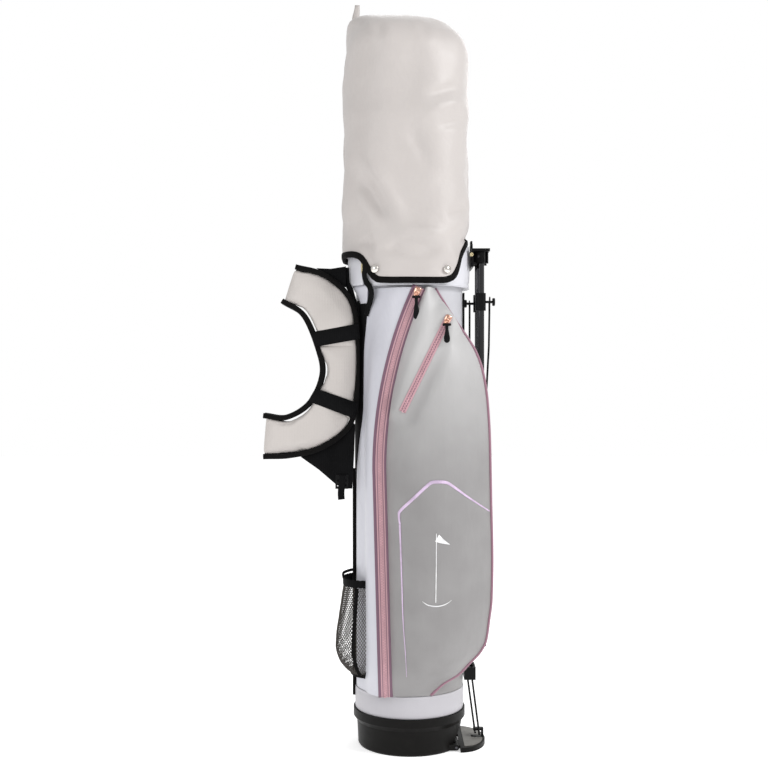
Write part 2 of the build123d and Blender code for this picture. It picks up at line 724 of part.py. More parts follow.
def make_putter_head():
    """A half-round mallet with its flat face to the rear."""
    x, y, _, _ = CLUBS["putter"]
    tube, bore, low = hosel("putter")
    round_back = Pos(x, y + 13, low) * (Ellipse(44, 54) & Pos(0, -50) * Rectangle(100, 100))
    mallet = extrude(round_back, HEAD_DEPTH["putter"])
    pocket = block((x - 20, x + 20), (y - 32, y - 12), (low + 10, low + 40))
    return mallet - pocket + tube - bore


# ---- writing the sub-parts ----------------------------------------------------------------
def make_all():
    pocket = make_apparel_pocket()
    parts = {
        "base_cup": make_base_cup(),
        "floor_pad": make_floor_pad(),
        "bag_shell": make_bag_shell(),
        "lower_band": ring(BAG_R + 1.8, BAG_R + 0.1, BASE_TOP_Z + 0.1, BAND_TOP_Z),
        "collar_cuff": make_cuff(),
        "top_divider": make_top_divider(),
        "well_panels": make_well_panels(),
        "back_stay": make_back_stay(),
        "lift_handle": make_lift_handle(),
        "apparel_pocket": pocket,
        "pocket_piping": make_pocket_piping(pocket),
        "main_zip_tape": make_main_zip_tape(),
        "short_zip_tape": make_short_zip_tape(),
        "ball_pocket": make_ball_pocket(),
        "ball_zip_tape": make_ball_zip_tape(),
        "bottle_net": keep_largest(make_bottle_net() - pocket),
        "bottle_elastic": [keep_largest(make_bottle_elastic() - pocket), make_bottle_loop()],
        "leg_bracket": make_leg_bracket() + make_bracket_hook(),
        "hinge_pins": [*make_leg_pins(), make_plate_pin()],
        "rod_guide": make_rod_guide(),
        "foot_plate": make_foot_plate(),
        "plate_tread": make_plate_tread(),
        "plate_clip": make_plate_clip(),
        "hood_shell": make_hood_shell(),
        "hood_binding": make_hood_binding(),
        "hood_snaps": make_hood_snaps(),
        "hood_tab": make_hood_tab(),
        "upper_pad": make_upper_pad(),
        "middle_pads": make_middle_pads(),
        "lower_pad": make_lower_pad(),
        "cross_bands": make_cross_bands(),
        "harness_gussets": [make_top_gusset(), make_bottom_gusset()],
        "ladder_buckle": make_ladder_buckle(),
        "tail_strap": make_tail_strap(),
    }
    for name, plane, pull in (
            ("main", main_zip_plane(), 45),
            ("short", short_slider_plane(), 38),
            ("ball", ball_slider_plane(), 38)):
        parts[name + "_slider"] = plane * slider_body()
        parts[name + "_puller"] = plane * puller_body(pull)
    for word, side in (("near", -1), ("far", 1)):
        parts["leg_tube_" + word] = make_leg_tube(side)
        parts["leg_fittings_" + word] = [make_leg_eye(side), make_leg_clamp(side)]
        parts["leg_foot_" + word] = make_leg_foot(side)
        parts["push_rod_" + word] = make_push_rod(side)
    heads = {
        "driver": make_wood_head("driver", (38, -26), (56, 50)),
        "hybrid": make_wood_head("hybrid", (-28, 4), (42, 28)),
        "iron_7": make_iron_head("iron_7"),
        "putter": make_putter_head(),
    }
    for name, head in heads.items():
        parts[name + "_grip"] = make_grip(name)
        parts[name + "_shaft"] = make_shaft(name)
        parts[name + "_head"] = head
    return parts


def main():
    os.makedirs("parts", exist_ok=True)
    for name, shape in make_all().items():
        solids = shape if isinstance(shape, list) else [shape]
        body = Compound(children=[piece for solid in solids for piece in solid.solids()])
        export_step(body, f"parts/{name}.step")


main()
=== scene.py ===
"""Looks of the golf club set: a stand bag with its rain hood on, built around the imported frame.

Lengths below are in millimetres unless a name ends in _M, and angles in radians; pieces are
scaled to metres as they are made. +X points to the legs, -Y to the big pocket and the camera.
"""

import bisect
import json
import math

import bpy
import numpy as np
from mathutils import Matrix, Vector, noise

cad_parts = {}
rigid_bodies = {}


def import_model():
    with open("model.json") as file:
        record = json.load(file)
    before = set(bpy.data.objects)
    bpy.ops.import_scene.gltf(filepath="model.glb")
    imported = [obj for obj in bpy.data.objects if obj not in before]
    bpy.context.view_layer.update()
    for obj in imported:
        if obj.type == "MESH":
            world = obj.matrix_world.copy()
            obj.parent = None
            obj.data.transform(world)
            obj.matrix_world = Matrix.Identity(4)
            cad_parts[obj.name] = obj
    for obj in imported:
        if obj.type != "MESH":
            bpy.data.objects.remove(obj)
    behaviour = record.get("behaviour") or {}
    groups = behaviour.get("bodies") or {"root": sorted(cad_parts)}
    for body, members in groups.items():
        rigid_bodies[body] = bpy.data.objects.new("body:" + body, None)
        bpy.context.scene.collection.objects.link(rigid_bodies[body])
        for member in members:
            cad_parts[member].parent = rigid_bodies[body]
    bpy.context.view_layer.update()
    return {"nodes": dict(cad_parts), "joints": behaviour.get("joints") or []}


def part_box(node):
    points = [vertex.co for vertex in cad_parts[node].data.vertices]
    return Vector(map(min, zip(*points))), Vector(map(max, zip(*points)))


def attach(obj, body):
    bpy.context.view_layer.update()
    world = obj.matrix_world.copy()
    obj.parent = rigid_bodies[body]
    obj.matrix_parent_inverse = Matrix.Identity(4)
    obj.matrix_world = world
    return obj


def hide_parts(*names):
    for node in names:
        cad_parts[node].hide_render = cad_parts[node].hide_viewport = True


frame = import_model()
JOINTS = {joint["name"]: joint for joint in frame["joints"]}
MM = 0.001


def box(node):
    """Lowest and highest corner of a CAD node, in millimetres."""
    low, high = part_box(node)
    return np.array(low) * 1000, np.array(high) * 1000


# ---- small maths ------------------------------------------
def smooth(t):
    t = min(max(t, 0.0), 1.0)
    return t * t * (3 - 2 * t)


def mix(a, b, t):
    return a + (b - a) * t


def through(points, count):
    """Evenly parametrised smooth curve through a few points (Catmull-Rom)."""
    pts = [np.array(p, float) for p in points]
    pts = [2 * pts[0] - pts[1]] + pts + [2 * pts[-1] - pts[-2]]
    spans = len(pts) - 3
    out = []
    for k in range(count):
        s = k / (count - 1) * spans
        i = min(int(s), spans - 1)
        t = s - i
        p0, p1, p2, p3 = pts[i:i + 4]
        out.append(0.5 * (2 * p1 + (p2 - p0) * t + (2 * p0 - 5 * p1 + 4 * p2 - p3) * t ** 2
                          + (3 * p1 - p0 - 3 * p2 + p3) * t ** 3))
    return np.array(out)


def profile(stations):
    """Smooth function through (height, value) stations."""
    zs, vs = [float(s[0]) for s in stations], [float(s[1]) for s in stations]
    rates = [(b - a) / (q - p) for a, b, p, q in zip(vs, vs[1:], zs, zs[1:])]
    slopes = [rates[0]]
    for left, right in zip(rates, rates[1:]):
        slopes.append(2 * left * right / (left + right) if left * right > 0 else 0.0)
    slopes.append(rates[-1])

    def value(z):
        z = min(max(z, zs[0]), zs[-1])
        i = min(bisect.bisect_right(zs, z) - 1, len(zs) - 2)
        h = zs[i + 1] - zs[i]
        t = (z - zs[i]) / h
        return ((2 * t ** 3 - 3 * t ** 2 + 1) * vs[i] + (t ** 3 - 2 * t ** 2 + t) * h * slopes[i]
                + (3 * t ** 2 - 2 * t ** 3) * vs[i + 1] + (t ** 3 - t ** 2) * h * slopes[i + 1])
    return value


def unit(vector):
    return vector / np.linalg.norm(vector)


def ripple(x, y, z, size, seed=0.0):
    """Smooth noise from about -1 to 1 whose bumps are size mm across."""
    return noise.noise(Vector((x / size + seed, y / size - seed, z / size + 2 * seed)))


# ---- materials --------------------------------------------
def linear(rgb):
    """Linear colour from an everyday 0-255 one."""
    out = []
    for channel in rgb:
        c = channel / 255
        out.append(c / 12.92 if c <= 0.04045 else ((c + 0.055) / 1.055) ** 2.4)
    return (*out, 1.0)


class Shader:
    """A principled material and the few node chains used here."""

    def __init__(self, name, rough=0.5, **sockets):
        self.mat = bpy.data.materials.new(name)
        self.mat.use_nodes = True
        self.tree = self.mat.node_tree
        self.bsdf = self.tree.nodes["Principled BSDF"]
        self.bsdf.inputs["Roughness"].default_value = rough
        for socket, value in sockets.items():
            self.bsdf.inputs[socket.replace("_", " ")].default_value = value
        self.place = self.tree.nodes.new("ShaderNodeTexCoord").outputs["Object"]
        self.height = None

    def node(self, kind, **values):
        made = self.tree.nodes.new("ShaderNode" + kind)
        for key, value in values.items():
            if hasattr(made, key):
                setattr(made, key, value)
            else:
                made.inputs[key.replace("_", " ")].default_value = value
        return made

    def link(self, a, b):
        self.tree.links.new(a, b)

    def stretch(self, scale, turn=(0, 0, 0)):
        mapping = self.node("Mapping")
        mapping.inputs["Scale"].default_value = scale
        mapping.inputs["Rotation"].default_value = turn
        self.link(self.place, mapping.inputs["Vector"])
        return mapping.outputs["Vector"]

    def noise(self, size, scale=(1, 1, 1), detail=3.0):
        """Noise with features about size mm across."""
        tex = self.node("TexNoise", Scale=1000.0 / size, Detail=detail)
        self.link(self.stretch(scale), tex.inputs["Vector"])
        return tex.outputs["Fac"]

    def waves(self, pitch, scale=(1, 1, 1), turn=(0, 0, 0), direction="X", warp=0.0):
        """Parallel threads pitch mm apart."""
        tex = self.node("TexWave", Scale=1000.0 / pitch / 20 * math.pi, Distortion=warp)
        tex.bands_direction = direction
        self.link(self.stretch(scale, turn), tex.inputs["Vector"])
        return tex.outputs["Fac"]

    def combine(self, operation, a, b):
        maths = self.node("Math", operation=operation)
        for socket, value in zip(maths.inputs, (a, b)):
            if isinstance(value, float):
                socket.default_value = value
            else:
                self.link(value, socket)
        return maths.outputs[0]

    def paint(self, factor, low, high, start=0.3, end=0.7):
        """Colours the surface from low to high as factor goes from start to end."""
        ramp = self.node("ValToRGB")
        ramp.color_ramp.elements[0].position = start
        ramp.color_ramp.elements[0].color = low
        ramp.color_ramp.elements[1].position = end
        ramp.color_ramp.elements[1].color = high
        self.link(factor, ramp.inputs["Fac"])
        self.link(ramp.outputs["Color"], self.bsdf.inputs["Base Color"])
        return ramp

    def bump(self, factor, height_mm, strength=1.0):
        bump = self.node("Bump", Strength=strength, Distance=height_mm * MM)
        self.link(factor, bump.inputs["Height"])
        if self.height is not None:
            self.link(self.height, bump.inputs["Normal"])
        self.height = bump.outputs["Normal"]
        self.link(self.height, self.bsdf.inputs["Normal"])

    def rough(self, factor, low, high):
        span = self.node("MapRange")
        span.inputs["To Min"].default_value = low
        span.inputs["To Max"].default_value = high
        self.link(factor, span.inputs["Value"])
        self.link(span.outputs["Result"], self.bsdf.inputs["Roughness"])


def shade(rgb, factor):
    return tuple(min(c * factor, 1.0) for c in linear(rgb)[:3]) + (1.0,)


def woven(name, rgb, rough, thread=0.6, tint=0.03, sheen=0.2, soft=0.6, lift=0.08):
    """Cloth: crossed threads, mottled colour and a soft unevenness."""
    cloth = Shader(name, rough, Sheen_Weight=sheen, Sheen_Roughness=0.4)
    weft = cloth.waves(thread, direction="Z")
    warp = cloth.waves(thread, scale=(1, 1, 0), direction="DIAGONAL")
    weave = cloth.combine("MULTIPLY", weft, warp)
    mottle = cloth.combine("ADD", cloth.combine("MULTIPLY", cloth.noise(55), 0.7),
                           cloth.combine("MULTIPLY", weave, 0.3))
    cloth.paint(mottle, shade(rgb, 1 - tint), shade(rgb, 1 + tint), 0.2, 0.8)
    cloth.rough(cloth.noise(30), rough - 0.07, rough + 0.07)
    cloth.bump(cloth.noise(22, detail=2.0), soft)
    cloth.bump(weave, lift)
    return cloth.mat


def moulded(name, rgb, rough, grain=0.6, coat=0.0, lift=0.05, shine=0.5):
    """Moulded plastic or rubber: fine grain, slight scuffs in the gloss."""
    plastic = Shader(name, rough, Coat_Weight=coat, Coat_Roughness=0.2, Specular_IOR_Level=shine)
    plastic.paint(plastic.noise(14), shade(rgb, 0.85), shade(rgb, 1.2))
    plastic.rough(plastic.noise(9), rough - 0.08, rough + 0.1)
    plastic.bump(plastic.noise(grain), lift)
    return plastic.mat


def metal(name, rgb, rough, brushed=(1, 1, 1), lift=0.01, coat=0.0):
    steel = Shader(name, rough, Metallic=1.0, Coat_Weight=coat, Coat_Roughness=0.15)
    marks = steel.noise(3, scale=brushed)
    steel.paint(marks, shade(rgb, 0.9), shade(rgb, 1.05))
    steel.rough(marks, max(rough - 0.06, 0.03), rough + 0.08)
    steel.bump(marks, lift)
    return steel.mat


def webbing_material(name, rgb, across="X"):
    """Ribbed black tape with ribs along its length."""
    tape = Shader(name, 0.8, Sheen_Weight=0.02, Specular_IOR_Level=0.08)
    ribs = tape.waves(1.6, direction=across)
    weave = tape.waves(1.1, direction="Z")
    both = tape.combine("MULTIPLY", ribs, weave)
    tape.paint(tape.combine("ADD", both, tape.noise(20)), shade(rgb, 0.7), shade(rgb, 1.6), 0.3, 1.3)
    tape.bump(both, 0.25)
    return tape.mat


def pocket_cloth():
    """Grey satin of the pocket's face, with painted light: the colour is lighter towards its top, standing in
    for the upper cloth catching more light.
    """
    cloth = Shader("pocket_satin", 0.46, Sheen_Weight=0.2, Sheen_Roughness=0.35)
    low, high = box("apparel_pocket")
    split = cloth.node("SeparateXYZ")
    cloth.link(cloth.place, split.inputs[0])
    # painted light: a ramp on height that lightens the colour from just above mid-height to the pocket's top
    rise = cloth.node("MapRange")
    rise.inputs["From Min"].default_value = (low[2] + 0.52 * (high[2] - low[2])) * MM
    rise.inputs["From Max"].default_value = high[2] * MM
    cloth.link(split.outputs["Z"], rise.inputs["Value"])
    weave = cloth.combine("MULTIPLY", cloth.waves(0.6, direction="Z"), cloth.waves(0.6, direction="X"))
    uneven = cloth.combine("MULTIPLY", cloth.noise(70), 0.35)
    # painted top light plus random uneven tone
    painted_light_and_mottle = cloth.combine("ADD", rise.outputs["Result"], uneven)
    cloth.paint(painted_light_and_mottle, linear((138, 136, 136)), linear((188, 187, 187)), 0.12, 1.1)
    cloth.bump(cloth.noise(28, scale=(1.6, 1, 0.5), detail=2.0), 1.0)
    cloth.bump(weave, 0.06)
    return cloth.mat


HOOD_CLOTH = woven("hood_satin", (193, 187, 184), 0.42, thread=0.5, soft=1.1)
TUBE_CLOTH = woven("tube_satin", (196, 196, 201), 0.42)
PANEL_CLOTH = woven("side_panel_satin", (200, 200, 208), 0.38)
CUFF_CLOTH = woven("cuff_satin", (214, 214, 220), 0.42, tint=0.02, sheen=0.25, soft=0.8)
BAND_CLOTH = woven("band_satin", (186, 184, 189), 0.45, sheen=0.25)
POCKET_CLOTH = pocket_cloth()
PAD_CLOTH = woven("pad_spacer_cloth", (196, 190, 186), 0.6, thread=1.2, sheen=0.25, lift=0.2, soft=1.2)
LINING = woven("dark_lining", (52, 52, 56), 0.7, thread=0.8, tint=0.05, sheen=0.25)
NET_CORD = woven("net_cord", (58, 52, 46), 0.7, thread=0.5, tint=0.05, sheen=0.25)
WEBBING = webbing_material("black_webbing", (12, 12, 13))
BINDING = webbing_material("black_binding", (11, 10, 10), across="Y")
PIPING = woven("mauve_piping", (152, 112, 128), 0.45, thread=0.9, tint=0.05, sheen=0.3)
ZIP_PINK = woven("zip_tape_pink", (194, 152, 160), 0.5, thread=0.8, tint=0.05, sheen=0.3, lift=0.15)
ZIP_MAUVE = woven("zip_edge_mauve", (116, 84, 102), 0.45, thread=0.8, tint=0.05, sheen=0.3)
ZIP_TEETH = moulded("zip_teeth_nylon", (206, 164, 172), 0.35)
LILAC = moulded("lilac_print", (206, 184, 212), 0.4)
WHITE_PRINT = moulded("white_print", (236, 236, 238), 0.4)
ROSE_GOLD = metal("rose_gold", (226, 178, 156), 0.18)
BRASS = metal("brass", (206, 192, 152), 0.25)
CHROME = metal("snap_chrome", (232, 228, 222), 0.12)
LEG_METAL = metal("leg_aluminium", (48, 48, 50), 0.24, brushed=(1, 1, 0.05), coat=0.7)
ROD_BLACK = moulded("rod_coating", (12, 12, 13), 0.35, shine=0.16)
BASE_PLASTIC = moulded("base_plastic", (15, 14, 13), 0.42, grain=0.9, shine=0.12)
TRIM_PLASTIC = moulded("trim_plastic", (11, 11, 12), 0.36, grain=0.8, shine=0.14)
RUBBER = moulded("soft_rubber", (12, 12, 13), 0.6, grain=1.2, lift=0.1, shine=0.12)
DARK_STEEL = metal("dark_steel", (84, 84, 88), 0.35)
TREAD = moulded("plate_tread", (128, 126, 122), 0.6, grain=2.5, lift=0.3)
GRIP = moulded("grip_rubber", (34, 34, 38), 0.65, grain=1.6, lift=0.3)
GRAPHITE = moulded("lilac_graphite", (196, 184, 204), 0.2, coat=0.8, grain=4)
HEAD_PAINT = moulded("head_lacquer", (150, 128, 160), 0.18, coat=1.0, grain=4)
HEAD_STEEL = metal("head_steel", (196, 196, 198), 0.24, brushed=(1, 0.1, 1))


# ---- making pieces ----------------------------------------
def add_piece(name, form, material, body="bag", replaces=(), flat=False):
    """A piece from its (verts, faces), riding a body of the frame."""
    verts, faces = form
    mesh = bpy.data.meshes.new(name)
    mesh.from_pydata([tuple(float(c) * MM for c in v) for v in verts], [], faces)
    mesh.validate()
    mesh.materials.append(material)
    for face in mesh.polygons:
        face.use_smooth = not flat
    obj = bpy.data.objects.new(name, mesh)
    bpy.context.collection.objects.link(obj)
    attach(obj, body)
    if replaces:
        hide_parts(*replaces)
    return obj


def grid_faces(rows, cols, wrap=False, ends=False, start=0):
    """Quads over a rows x cols grid; wrap closes each row, ends caps the first and last."""
    faces = []
    reach = cols if wrap else cols - 1
    for r in range(rows - 1):
        for c in range(reach):
            n = (c + 1) % cols
            faces.append((start + r * cols + c, start + r * cols + n,
                          start + (r + 1) * cols + n, start + (r + 1) * cols + c))
    if ends:
        faces.append(tuple(start + c for c in reversed(range(cols))))
        faces.append(tuple(start + (rows - 1) * cols + c for c in range(cols)))
    return faces


def skin(rows, wrap=True, ends=True):
    """Verts and faces over rows of points; each row has the same number."""
    return [p for row in rows for p in row], grid_faces(len(rows), len(rows[0]), wrap, ends)


def thick_skin(grids):
    """A skin with thickness: an outer and an inner grid joined all round their border."""
    outer, inner = grids
    rows, cols = len(outer), len(outer[0])
    verts = [p for row in outer + inner for p in row]
    half = rows * cols
    faces = grid_faces(rows, cols)
    faces += [tuple(reversed(f)) for f in grid_faces(rows, cols, start=half)]
    border = list(range(cols)) + [r * cols + cols - 1 for r in range(1, rows)]
    border += [(rows - 1) * cols + c for c in reversed(range(cols - 1))]
    border += [r * cols for r in reversed(range(1, rows - 1))]
    for a, b in zip(border, border[1:] + border[:1]):
        faces.append((b, a, a + half, b + half))
    return verts, faces


def joined(parts):
    """One (verts, faces) pair from several."""
    verts, faces = [], []
    for part_verts, part_faces in parts:
        base = len(verts)
        verts += list(part_verts)
        faces += [tuple(i + base for i in f) for f in part_faces]
    return verts, faces


def frames_along(path, up):
    """Points, tangents, sides and normals of a path; up is a direction or one per point."""
    path = np.asarray(path, float)
    tangents = np.gradient(path, axis=0)
    tangents /= np.linalg.norm(tangents, axis=1)[:, None]
    ups = np.broadcast_to(np.asarray(up, float), path.shape)
    sides = np.cross(tangents, ups)
    sides /= np.linalg.norm(sides, axis=1)[:, None]
    normals = np.cross(sides, tangents)
    return path, tangents, sides, normals


def swept(path, up, section, closed=False):
    """Verts and faces of a (side, normal) section swept along a path."""
    path, _, sides, normals = frames_along(path, up)
    if closed:
        path, sides, normals = path[:-1], sides[:-1], normals[:-1]
    rows = [[p + s * a + n * b for a, b in section] for p, s, n in zip(path, sides, normals)]
    verts, faces = skin(rows, ends=not closed)
    if closed:
        cols = len(section)
        last = len(verts) - cols
        for c in range(cols):
            n = (c + 1) % cols
            faces.append((last + c, last + n, n, c))
    return verts, faces


def oval(half_w, half_h, count=12, offset=(0, 0), power=2.0):
    """Rounded section: an ellipse, or squarer with a higher power."""
    points = []
    for k in range(count):
        a = 2 * math.pi * k / count
        c, s = math.cos(a), math.sin(a)
        x = math.copysign(abs(c) ** (2 / power), c) * half_w
        y = math.copysign(abs(s) ** (2 / power), s) * half_h
        points.append((x + offset[0], y + offset[1]))
    return points


def band_section(width, thick, offset=(0, 0)):
    return oval(width / 2, thick / 2, 12, offset, power=5)


def turned(centre, axis, outline, count=24):
    """Lathe form about a sideways axis, from an outline of (along the axis, radius)."""
    axis = unit(np.asarray(axis, float))
    u = unit(np.cross(axis, (0, 0, 1)))
    v = np.cross(axis, u)
    rows = []
    for along, radius in outline:
        rows.append([np.asarray(centre) + axis * along
                     + (u * math.cos(a) + v * math.sin(a)) * max(radius, 0.01)
                     for a in (2 * math.pi * k / count for k in range(count))])
    return skin(rows)


# ---- the bag's tube, cuff and band ------------------------
BAG_R = box("bag_shell")[1][0]
CUFF_LOW, CUFF_HIGH = box("collar_cuff")
CUFF_R = CUFF_HIGH[0]
POCKET_LOW, POCKET_HIGH = box("apparel_pocket")
AROUND = 144             # points round the bag's fabric


def round_wall(z, radius, wobble=0.0, seed=0.0, count=AROUND):
    """One ring of slightly uneven fabric about the bag's axis."""
    ring = []
    for k in range(count):
        a = 2 * math.pi * k / count
        r = radius + wobble * ripple(radius * math.cos(a), radius * math.sin(a), z, 60, seed)
        ring.append((r * math.cos(a), r * math.sin(a), z))
    return ring


def make_tube():
    """Outer fabric and dark lining of the tube."""
    low, high = box("bag_shell")
    inner_r = BAG_R - 2
    zs = np.linspace(low[2], high[2], 90)
    rows = [round_wall(z, BAG_R - 0.45, 0.4, 3.1) for z in zs]
    rows += [round_wall(z, inner_r) for z in zs[::-8]]
    obj = add_piece("bag_tube", skin(rows, ends=False), TUBE_CLOTH, replaces=["bag_shell"])
    obj.data.materials.append(LINING)
    for face in obj.data.polygons:
        if Vector((face.center.x, face.center.y)).length < (inner_r + 0.5) * MM:
            face.material_index = 1


def make_cuff():
    """Padded collar: a puffed ring with a sewn line near each rim."""
    z0, z1 = CUFF_LOW[2], CUFF_HIGH[2]
    outline = []
    for k in range(25):
        t = k / 24
        puff = 1.6 * math.sin(math.pi * t) ** 0.6 - (1.1 if k in (3, 21) else 0)
        outline.append((z0 + (z1 - z0) * t, CUFF_R - 2.4 + puff))
    outline += [(z1, CUFF_R - 6), (z1 - 1.5, BAG_R + 2), (z1 - 8, BAG_R + 0.2), (z0 + 1, BAG_R + 0.2)]
    rows = [round_wall(z, r, 0.5 if r > BAG_R + 3 else 0.0, 7.7) for z, r in outline]
    add_piece("padded_cuff", skin(rows + rows[:1], ends=False), CUFF_CLOTH,
              replaces=["collar_cuff"])
    rim = round_wall(z0 + 0.8, CUFF_R - 2.2, count=96)
    seam = swept(rim + rim[:1], (0, 0, 1), oval(0.9, 0.9, 8), closed=True)
    add_piece("cuff_seam", seam, CUFF_CLOTH)


def make_band():
    """Fabric band over the base cup, with a turned and sewn upper edge."""
    z0, z1 = box("lower_band")[0][2], box("lower_band")[1][2]
    outline = [(z0 + 0.5, 0.6), (z0 + 4, 1.4), (z1 - 5, 1.4), (z1 - 3.4, 0.9), (z1 - 2.4, 1.5),
               (z1 - 0.6, 1.3), (z1, 0.7), (z1 - 0.4, 0.1), (z0 + 0.5, 0.1)]
    rows = [round_wall(z, BAG_R + lift, 0.15, 5.5) for z, lift in outline]
    add_piece("lower_fabric_band", skin(rows + rows[:1], ends=False), BAND_CLOTH,
              replaces=["lower_band"])


make_tube()
make_cuff()
make_band()

# ---- the big pocket ---------------------------------------
ZIP_JOINT = JOINTS["main_slider_run"]
ARC_X, _, ARC_Z = [c * 1000 for c in ZIP_JOINT["pos_m"]]
TAPE_LOW, TAPE_HIGH = box("main_zip_tape")
TAPE_HALF = 12.0
ZIP_Y = TAPE_HIGH[1]
SLIDER_MID = sum(box("main_slider")) / 2
ARC_R = math.hypot(SLIDER_MID[0] - ARC_X, SLIDER_MID[2] - ARC_Z)
FOOT_Z = TAPE_LOW[2]
FOOT_X = ARC_X - ARC_R + 9.9
POCKET_TOP, POCKET_FOOT = POCKET_HIGH[2], POCKET_LOW[2]
SEAM_Y = sum(box("pocket_piping"))[1] / 2
LOBE_X = POCKET_HIGH[0]

# share of the pocket's height, share of the lobe's reach
seam_share = profile([
    (0.0, 0.25), (0.029, 0.41), (0.051, 0.59), (0.076, 0.71), (0.11, 0.865), (0.136, 0.925),
    (0.184, 0.96), (0.234, 0.99), (0.33, 1.0), (0.48, 0.985), (0.627, 0.97), (0.725, 0.94),
    (0.798, 0.88), (0.843, 0.80), (0.877, 0.70), (0.917, 0.56), (0.958, 0.43), (1.0, 0.30)])
# share of the height, how far the crown stands in front of the seam line
crown_depth = profile([
    (0.0, 11), (0.03, 24), (0.06, 36), (0.10, 48), (0.15, 59), (0.25, 64), (0.45, 64), (0.62, 62),
    (0.75, 57), (0.83, 51), (0.90, 41), (0.95, 31), (1.0, 22)])

SHORT_RUN = np.array(JOINTS["short_slider_run"]["axis"], float)
OUT = np.array((0.0, -1.0, 0.0))
SHORT_OUT = unit(OUT - SHORT_RUN * np.dot(OUT, SHORT_RUN))
RUN_X, RUN_Z = SHORT_RUN[0], SHORT_RUN[2]
RUN_FLAT = math.hypot(RUN_X, RUN_Z)
PIVOT_BACK, PIVOT_RISE = 1.4, 4.9     # a puller's pivot: up from its slider's middle, and off it
SLIDER_RISE = 1.6                     # a slider's middle over the cloth of its tape
SHORT_PIVOT = np.array(JOINTS["short_puller_flip"]["pos_m"]) * 1000
SHORT_TOP = SHORT_PIVOT + SHORT_RUN * PIVOT_BACK - SHORT_OUT * (PIVOT_RISE + SLIDER_RISE)
SHORT_LENGTH = 168.0


def zip_x(z):
    """The zipper runs down an arc, then straight to the foot."""
    if z >= ARC_Z:
        return ARC_X - math.sqrt(max(ARC_R ** 2 - (z - ARC_Z) ** 2, 0))
    return mix(ARC_X - ARC_R, FOOT_X, (ARC_Z - z) / (ARC_Z - FOOT_Z))


def zip_y(z):
    """The zipper lies in one plane, and dips under the lower band at its foot."""
    return ZIP_Y + 11.0 * (1 - smooth((z - POCKET_FOOT + 4) / 50))


def height_share(z):
    return (z - POCKET_FOOT) / (POCKET_TOP - POCKET_FOOT)


def seam_x(z):
    return LOBE_X * seam_share(height_share(z))


def seam_y(z):
    """The outer seam stands off on the lobe and settles on the tube at both ends."""
    x = seam_x(z)
    on_tube = -math.sqrt(max((BAG_R + 1.5) ** 2 - x * x, 0)) if x < BAG_R else 0
    return min(SEAM_Y, on_tube)


def face_y(x, z):
    """Depth of the pocket's face at a place between the zipper and the outer seam."""
    x0, y0 = zip_x(z) + TAPE_HALF - 1.5, zip_y(z)
    x1, y1 = seam_x(z), seam_y(z)
    t = min(max((x - x0) / max(x1 - x0, 1), 0.0), 1.0)
    share = height_share(z)
    middle = mix(y0, y1, 0.45)
    depth = max(middle - (SEAM_Y - crown_depth(share)), 3.0)
    belly = 1 - abs(2 * t ** 0.868 - 1) ** 2.3
    y = mix(y0, y1, t) - depth * belly
    y += belly * (1.1 * ripple(x, 0, z * 0.4, 36, 1.3) + 1.8 * ripple(x * 0.7, 0, z * 0.8, 85, 4.2))
    y += belly * 1.6 * ripple(x, 0, z * 0.3, 22, 6.1) * smooth((share - 0.8) / 0.12)
    return settle_on_short_zip(x, y, z)


def settle_on_short_zip(x, y, z):
    """Near the short zipper the cloth lies in the zipper's plane."""
    dx, dz = x - SHORT_TOP[0], z - SHORT_TOP[2]
    along = (dx * RUN_X + dz * RUN_Z) / RUN_FLAT
    off = abs(dx * RUN_Z - dz * RUN_X) / RUN_FLAT
    beyond = max(-along - 8, along - SHORT_LENGTH, 0)
    weight = 1 - smooth(math.hypot(beyond, max(off - 8, 0)) / 26)
    return mix(y, SHORT_TOP[1] + along * SHORT_RUN[1] / RUN_FLAT + 0.2, weight)


def on_face(x, z, lift):
    """Point just in front of the pocket's face."""
    return np.array((x, face_y(x, z) - lift, z))


def gusset(z):
    """Back wall of the lobe, from the seam round to the tube."""
    x, y = seam_x(z), seam_y(z)
    land_x = min(x, BAG_R - 11)
    land_y = -math.sqrt((BAG_R - 0.5) ** 2 - land_x ** 2)
    stand = smooth((x - 88) / 30)
    points = []
    for share, inward, deep in ((0.25, 3, 9), (0.55, 4, 20), (0.8, 9, 29), (1.0, 16, 36)):
        points.append((mix(x, x - inward, stand), mix(y, y + deep, stand), z))
    back = points[-1]
    points.append(((back[0] + land_x) / 2, (back[1] + land_y) / 2, z))
    points.append((land_x, land_y, z))
    return points


PANEL_X, PANEL_Y = -92, -20      # where the side panel leaves the tube


def side_panel(z):
    """Light panel between the tube's left side and the zipper."""
    x1, y1 = zip_x(z) - TAPE_HALF + 1.5, zip_y(z)
    a0, a1 = (math.atan2(y, x) % (2 * math.pi) for x, y in ((PANEL_X, PANEL_Y), (x1, y1)))
    row = []
    for k in range(25):
        t = k / 24
        a = mix(a0, a1, t)
        rise = smooth((t - 0.42) / 0.58)
        r = mix(BAG_R + 0.3, math.hypot(x1, y1), rise)
        r += 1.6 * math.sin(math.pi * rise) * (1 + 0.8 * ripple(t * 40, t * 60, z * 0.5, 45, 2.2))
        row.append((r * math.cos(a), r * math.sin(a), z))
    row[-1] = (x1, y1, z)
    return row


